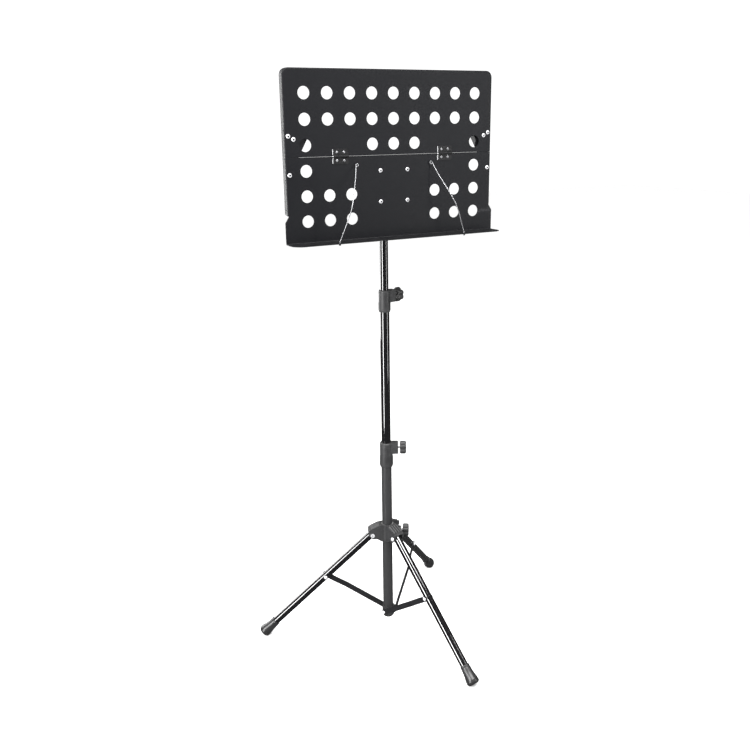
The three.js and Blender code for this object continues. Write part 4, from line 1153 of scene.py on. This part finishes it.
faceOn = [desk @ metres(shift(x, front - 0.3, z)) @ towardsFront for x, z in rivetSpots]
makePiece("bracketRivets", repeated(deskRivetMesh(), [(spot, 1.0) for spot in faceOn], "zincSteel"), "zincSteel",
          "desk", [f"bracket_rivet_{index}" for index in (1, 2, 3, 4)], scale=1.0)

head = dict(socket=12.5, low=1040.0, shoulder=1074.0, tongue=20.0, nose=12.0, bore=9.8,
            boreTop=1068.3, axis=1100.0, edge=0.8)


def headMesh():
    barrel = turned([(0, head["low"]), (head["socket"], head["low"]), (head["socket"], head["low"] + 3),
                     (head["socket"] - 0.8, head["low"] + 4), (head["socket"] - 0.8, head["shoulder"] - 7),
                     (head["socket"], head["shoulder"] - 5), (head["socket"], head["shoulder"]),
                     (0, head["shoulder"])], 80)
    arc = [(head["nose"] * math.cos(a), head["axis"] + head["nose"] * math.sin(a))
           for a in (math.pi * i / 28 for i in range(29))]
    side = [(-head["nose"], head["shoulder"] - 3), (head["nose"], head["shoulder"] - 3)] + arc
    blade = moved(slab([Vector(p) for p in side], head["tongue"]), shift(-head["tongue"] / 2) @ edgeOn)
    outward(blade)
    bore = turned([(0, head["low"] - 5), (head["bore"], head["low"] - 5), (head["bore"], head["boreTop"]),
                   (0, head["boreTop"])], 64)
    bolt = moved(turned([(0, -30), (3.4, -30), (3.4, 30), (0, 30)], 32), shift(z=head["axis"]) @ towardsX)
    return eased(cut(fused(barrel, blade), bore, bolt), head["edge"], 3, 32)


makePiece("tiltHead", headMesh(), "mouldedPlastic", "upper", ["tilt_head"], mast)

tilt = dict(earOuter=12.3, knobStart=14.3, tip=-13.0, end=24.8, threadFrom=12.4, threadTo=16.4,
            cap=((0, 0), (5.2, 0), (5.5, 0.3), (5.5, 3.3), (4.9, 4.0), (2.6, 4.0), (2.3, 2.4), (0, 2.2)))
screw = screwMesh(tilt["tip"], tilt["end"], tilt["threadFrom"], tilt["threadTo"])
cap = moved(turned(tilt["cap"], 48), shift(-tilt["earOuter"] - 0.3) @ turn(-90, "Y"))
makePiece("tiltBolt", joined(screw, cap), "zincSteel", "upper", ["tilt_bolt"], desk, smooth=50)
makePiece("tiltKnob", knobMesh(tilt["knobStart"]), "mouldedPlastic", "head_knob", ["tilt_knob"], desk, smooth=50)
print("tilt head ready")

hinge = dict(pinOffset=2.6, pin=1.0, barrel=2.2, leaf=1.0, width=35.0, length=30.0, at=124.0, edge=0.22)
pinY = front - hinge["pinOffset"]


def hingeMesh(up):
    # a hinge plate with its knuckles, its pin along X through the origin; -Y is towards the reader
    width, length, sheet, barrel = (hinge[k] for k in ("width", "length", "leaf", "barrel"))
    share = width / 3
    back = hinge["pinOffset"] - 0.3
    near, far = barrel + 0.6, length / 2
    section = rounded([(-width / 2, near), (width / 2, near), (width / 2, far), (-width / 2, far)], [0, 2, 2, 0])
    plate = moved(slab(section, sheet), shift(y=back) @ towardsFront)
    parts = []
    for k in ((-1, 1) if up else (0,)):
        half = share / 2 - 0.2
        roll = moved(turned([(0, -half), (barrel, -half), (barrel, half), (0, half)], 32),
                     shift(k * share) @ towardsX)
        web = moved(slab([(k * share - half, 0.1), (k * share + half, 0.1), (k * share + half, near + 1),
                          (k * share - half, near + 1)], sheet), shift(y=back) @ towardsFront)
        parts.extend([roll, web])
    whole = fused(plate, *parts)
    if not up:
        whole = moved(whole, Matrix.Scale(-1, 4, (0, 0, 1)))
    bore = moved(turned([(0, -40), (hinge["pin"] + 0.1, -40), (hinge["pin"] + 0.1, 40), (0, 40)], 24), towardsX)
    return eased(cut(whole, bore), hinge["edge"], 2, 45)


plateRivets = dict(across=8.0, near=8.3, head=2.7, height=1.1, shank=1.4, depth=3.4, dimple=0.3)
for sign, label in ((-1, "left"), (1, "right")):
    atHinge = desk @ metres(shift(sign * hinge["at"], pinY, leaf["hinge"]))
    makePiece(label + "HingeLower", hingeMesh(False), "hingeSteel", "desk", [label + "_hinge_lower_leaf"], atHinge)
    makePiece(label + "HingeUpper", hingeMesh(True), "hingeSteel", "upper_leaf", [label + "_hinge_upper_leaf"],
              atHinge)
    reach = hinge["width"] / 2 + 0.8
    pin = moved(turned([(0, -reach), (0.7, -reach), (1.0, -reach + 0.3), (1.0, reach - 0.3), (0.7, reach),
                        (0, reach)], 24), towardsX)
    makePiece(label + "HingePin", pin, "zincSteel", "desk", [label + "_hinge_pin"], atHinge)
plateSpot = front - 0.3 - 1.0
# size of the bright strip standing on the left edge of each hinge plate, a painted highlight
edgeHighlight = dict(width=0.9, thickness=1.3, near=3.2, far=14.2)
for body, sign, name in (("desk", -1, "hingeRivetsLower"), ("upper_leaf", 1, "hingeRivetsUpper")):
    spots = [(desk @ metres(shift(side * hinge["at"] + across * plateRivets["across"], plateSpot - 0.02,
                                  leaf["hinge"] + sign * plateRivets["near"])) @ towardsFront, 1.0)
             for side in (-1, 1) for across in (-1, 1)]
    # a bright zinc strip on the left edge of each plate: a painted highlight where light catches the edge
    highlightBar = eased(slab([(-edgeHighlight["width"] / 2, edgeHighlight["near"]), (edgeHighlight["width"] / 2, edgeHighlight["near"]),
                          (edgeHighlight["width"] / 2, edgeHighlight["far"]), (-edgeHighlight["width"] / 2, edgeHighlight["far"])],
                         edgeHighlight["thickness"]), 0.25, 2, 50)
    highlightSpots = [(desk @ metres(shift(side * hinge["at"] - hinge["width"] / 2, front - 0.2, leaf["hinge"]))
                  @ turn(180 if sign < 0 else 0, "Y") @ towardsFront, 1.0) for side in (-1, 1)]
    makePiece(name + "Edges", repeated(highlightBar, highlightSpots, "zincSteel"), "zincSteel", body, [], scale=1.0)
    # the small hinge rivets in worn steel, lightened as a painted highlight
    makePiece(name, repeated(domeMesh(*(plateRivets[k] for k in ("head", "height", "shank", "depth", "dimple"))),
                             spots, "wornSteelPaintedSheen"), "wornSteelPaintedSheen", body, [], scale=1.0)

stay = dict(gauge=1.5, stand=5.0, top=48.0, width=58.0, waist=31.0, tail=44.0, nose=8.0, pad=4.6, edge=0.3,
            studInset=8.0, studBelow=34.0, rivets=((8.0, 41.0), (19.0, 35.0)))


def stayMesh(sign):
    x0, x1 = leaf["half"] - gauge - 0.8, leaf["half"]
    tail = -stay["tail"]
    section = rounded([(x1 - stay["width"], stay["top"]), (x1 - stay["waist"], 0),
                       (x1 - stay["studInset"] - stay["nose"], tail + 6),
                       (x1 - stay["studInset"] - stay["nose"] + 4, tail), (x0 - 2, tail), (x0, tail + 2),
                       (x0, stay["top"])], [3, 12, 4, 2, 1, 1, 2.5])
    back = backSkin + stay["stand"] + stay["gauge"]
    plate = moved(slab(section, stay["gauge"]), shift(y=back) @ towardsFront)
    outward(plate)
    pads = [moved(turned([(0, 0), (stay["pad"], 0), (stay["pad"], stay["stand"] - 0.3 + 0.75),
                          (0, stay["stand"] - 0.3 + 0.75)], 40),
                  shift(x1 - inset, back - 0.75, above) @ towardsFront) for inset, above in stay["rivets"]]
    slotHalf, low = 2.9, -stay["studBelow"]
    cx = x1 - stay["studInset"]
    arc = [(cx + slotHalf * math.cos(a), low + slotHalf * math.sin(a)) for a in
           (math.pi * i / 16 for i in range(17))]
    slot = moved(slab([Vector(p) for p in arc + [(cx - slotHalf, tail - 10), (cx + slotHalf, tail - 10)]], 20),
                 shift(y=back + 8) @ towardsFront)
    outward(slot)
    whole = eased(cut(fused(plate, *pads), slot), stay["edge"], 2, 45)
    return whole if sign > 0 else moved(whole, Matrix.Scale(-1, 4, (1, 0, 0)))


stud = dict(head=4.4, height=1.6, shank=2.5, dimple=1.3)
stayRivet = dict(head=4.3, height=1.4, shank=2.0, depth=2.0, dimple=1.1)
# a dark disc sunk in the hollow of a rivet head: painted shade for the shaded inside of a tubular rivet
rivetShadeDisc = dict(radius=1.8, low=0.1, high=0.95)


def studMesh():
    # a stay stud: its head in front and its shank through the sheet and the stay
    grip = 0.3 + gauge + stay["stand"] + stay["gauge"] + 1.2
    return domeMesh(stud["head"], stud["height"], stud["shank"], grip, stud["dimple"])


foldLine = desk @ metres(shift(z=leaf["hinge"]))
stayRivetSpots, studFaces = [], []
for sign, label in ((-1, "left"), (1, "right")):
    makePiece(label + "Stay", stayMesh(sign), "blackSteel", "upper_leaf", [label + "_stay"], foldLine)
    studPlace = desk @ metres(shift(sign * (leaf["half"] - stay["studInset"]), front - 0.3,
                                    leaf["hinge"] - stay["studBelow"])) @ towardsFront
    studFaces.append(studPlace)
    makePiece(label + "StayStud", repeated(studMesh(), [(studPlace, 1.0)], "zincSteel"), "zincSteel", "desk",
              [label + "_stay_stud"], scale=1.0)
    for inset, above in stay["rivets"]:
        stayRivetSpots.append((foldLine @ metres(shift(sign * (leaf["half"] - inset), front - 0.02, above))
                               @ towardsFront, 1.0))
        stayRivetSpots.append((foldLine @ metres(shift(sign * (leaf["half"] - inset),
                                                       backSkin + stay["stand"] + stay["gauge"] + 0.02, above))
                               @ turn(-90, "X"), 1.0))
# dark discs in the hollow heads of the desk rivets, studs and stay rivets: painted shade
shadeDiscSpots = {"desk": faceOn + studFaces, "upper_leaf": [spot for spot, size in stayRivetSpots]}
for body, places in shadeDiscSpots.items():
    name = "rivetCentres" if body == "desk" else "stayRivetCentres"
    centre = turned([(0, rivetShadeDisc["high"]), (rivetShadeDisc["radius"], rivetShadeDisc["high"]),
                     (rivetShadeDisc["radius"], rivetShadeDisc["low"]), (0, rivetShadeDisc["low"])], 24)
    makePiece(name, repeated(centre, [(spot, 1.0) for spot in places], "hingeSteel"), "hingeSteel", body, [],
              scale=1.0)
makePiece("stayRivets", repeated(domeMesh(**stayRivet), stayRivetSpots, "zincSteel"), "zincSteel",
          "upper_leaf", [], scale=1.0)
print("hinges and stays ready")


def smoothPath(points, spacing):
    # an even run of points along a smooth curve through the given ones
    points = [Vector(p) for p in points]
    fine = []
    for i in range(len(points) - 1):
        a, b = points[i], points[i + 1]
        before = points[i - 1] if i else a * 2 - b
        after = points[i + 2] if i + 2 < len(points) else b * 2 - a
        steps = max(2, int((b - a).length / spacing))
        ta, tb = (b - before) * 0.5, (after - a) * 0.5
        scale = (b - a).length
        ta = ta.normalized() * scale * 0.8
        tb = tb.normalized() * scale * 0.8
        for step in range(steps):
            t = step / steps
            t2, t3 = t * t, t * t * t
            fine.append(a * (2 * t3 - 3 * t2 + 1) + ta * (t3 - 2 * t2 + t) + b * (3 * t2 - 2 * t3) + tb * (t3 - t2))
    fine.append(points[-1])
    return fine


def sweptMesh(path, radius, sides):
    # a round bar along the path, with domed ends
    sections = []
    ahead = (path[1] - path[0]).normalized()
    side = ahead.orthogonal().normalized()
    last = len(path) - 1
    sections.append([path[0] - ahead * radius * 0.6])
    for i, point in enumerate(path):
        direction = (path[min(i + 1, last)] - path[max(i - 1, 0)]).normalized()
        side = (side - direction * side.dot(direction)).normalized()
        other = direction.cross(side)
        for share, lead in (((0.7, -0.4), (1.0, 0.0)) if i == 0 else ((1.0, 0.0), (0.7, 0.4)) if i == last
                            else ((1.0, 0.0),)):
            sections.append([point + direction * radius * lead
                             + (side * math.cos(a) + other * math.sin(a)) * radius * share
                             for a in (2 * math.pi * k / sides for k in range(sides))])
    direction = (path[-1] - path[-2]).normalized()
    sections.append([path[-1] + direction * radius * 0.6])
    return lofted(sections)


def pageWireMesh(sign):
    across, forward = pageWire["across"], pageWire["forward"]
    points = [(across, -forward, -pageWire["below"]), (across, -forward, 0)]
    points += [(x, -y, z) for x, y, z in pageWire["bends"]]
    end = points[-1]
    for step in range(1, 15):
        angle = step / 14 * 1.72 * math.pi
        points.append((end[0] - pageWire["eye"] * (1 - math.cos(angle)), end[1],
                       end[2] + pageWire["eye"] * math.sin(angle)))
    bar = sweptMesh(smoothPath(points, 2.5), pageWire["radius"], pageWire["sides"])
    return bar if sign > 0 else moved(bar, Matrix.Scale(-1, 4, (1, 0, 0)))


trayPlace = desk @ metres(shift(0, front, leaf["trayTop"]))
wireNut = dict(radius=2.8, height=2.4, top=-1.5)
for sign, label in ((-1, "left"), (1, "right")):
    body = label + "_wire"
    makePiece(label + "PageWire", pageWireMesh(sign), "drawnSteel", body, [label + "_page_wire"], trayPlace,
              smooth=60)
    nut = eased(slab(circle(wireNut["radius"], sides=6), wireNut["height"]), 0.45, 2, 40)
    nutPlace = trayPlace @ metres(shift(sign * pageWire["across"], -pageWire["forward"],
                                        wireNut["top"] - wireNut["height"]))
    makePiece(label + "WireNut", nut, "blackSteel", body, [label + "_wire_nut"], nutPlace)
print("page wires ready")


floorMaterial = bpy.data.materials.new("paleFloor")
floorMaterial.use_nodes = True
floorShader = floorMaterial.node_tree.nodes["Principled BSDF"]
floorShader.inputs["Base Color"].default_value = (0.93, 0.93, 0.93, 1)
floorShader.inputs["Roughness"].default_value = 0.9
floorMesh = meshFrom([(-12, -12, 0), (12, -12, 0), (12, 12, 0), (-12, 12, 0)], [(0, 1, 2, 3)], "floor")
floorMesh.materials.append(floorMaterial)
floor = bpy.data.objects.new("floor", floorMesh)
floor.location.z = cadBox[0][2] - 0.0005
bpy.context.scene.collection.objects.link(floor)

view = dict(place=(-0.8523, -1.6410, 1.2173), yaw=26.699, pitch=16.621, roll=-0.934, lens=39.745)


def areaLight(name, place, target, size, energy):
    light = bpy.data.lights.new(name, "AREA")
    light.shape = "RECTANGLE"
    light.size, light.size_y = size
    light.energy = energy
    thing = bpy.data.objects.new(name, light)
    thing.location = place
    thing.rotation_euler = (Vector(target) - Vector(place)).to_track_quat("-Z", "Y").to_euler()
    bpy.context.scene.collection.objects.link(thing)


lights = dict(leftStrip=((-2.3, -0.75, 0.35), (0.42, 3.0), 125), rightStrip=((1.75, -2.2, 0.5), (0.22, 3.0), 34),
              backStrip=((-1.5, 2.7, 0.5), (0.7, 2.6), 90), topStrip=((-0.2, -1.6, 2.6), (2.4, 0.75), 140))
middle = Vector((mastX, mastY, 0.7))
for name, (offset, size, energy) in lights.items():
    areaLight(name, middle + Vector(offset), middle, size, energy)

studio = dict(backdrop=1.15, glossy=0.1)
world = bpy.data.worlds.new("studio")
world.use_nodes = True
worldTree = world.node_tree
dimmed = worldTree.nodes.new("ShaderNodeMix")
worldTree.links.new(worldTree.nodes.new("ShaderNodeLightPath").outputs["Is Glossy Ray"], dimmed.inputs[0])
dimmed.inputs[2].default_value = studio["backdrop"]
dimmed.inputs[3].default_value = studio["glossy"]
worldTree.links.new(dimmed.outputs[0], worldTree.nodes["Background"].inputs["Strength"])
worldTree.nodes["Background"].inputs["Color"].default_value = (1.0, 1.0, 1.0, 1)
bpy.context.scene.world = world
floor.visible_glossy = False
bpy.context.scene.view_settings.view_transform = "Standard"

yaw, pitch, roll = (math.radians(view[k]) for k in ("yaw", "pitch", "roll"))
forward = Vector((math.sin(yaw) * math.cos(pitch), math.cos(yaw) * math.cos(pitch), -math.sin(pitch)))
right = Vector((math.cos(yaw), -math.sin(yaw), 0))
up = right.cross(forward)
across = math.cos(roll) * right + math.sin(roll) * up
above = math.cos(roll) * up - math.sin(roll) * right
cameraData = bpy.data.cameras.new("camera")
cameraData.lens = view["lens"]
cameraData.sensor_width = 36.0
cameraData.clip_end = 60.0
camera = bpy.data.objects.new("camera", cameraData)
turnCamera = Matrix((across, above, -forward)).transposed().to_4x4()
camera.matrix_world = Matrix.Translation(Vector(view["place"]) + Vector((mastX, mastY, 0))) @ turnCamera
bpy.context.scene.collection.objects.link(camera)
bpy.context.scene.camera = camera
print("stage ready")
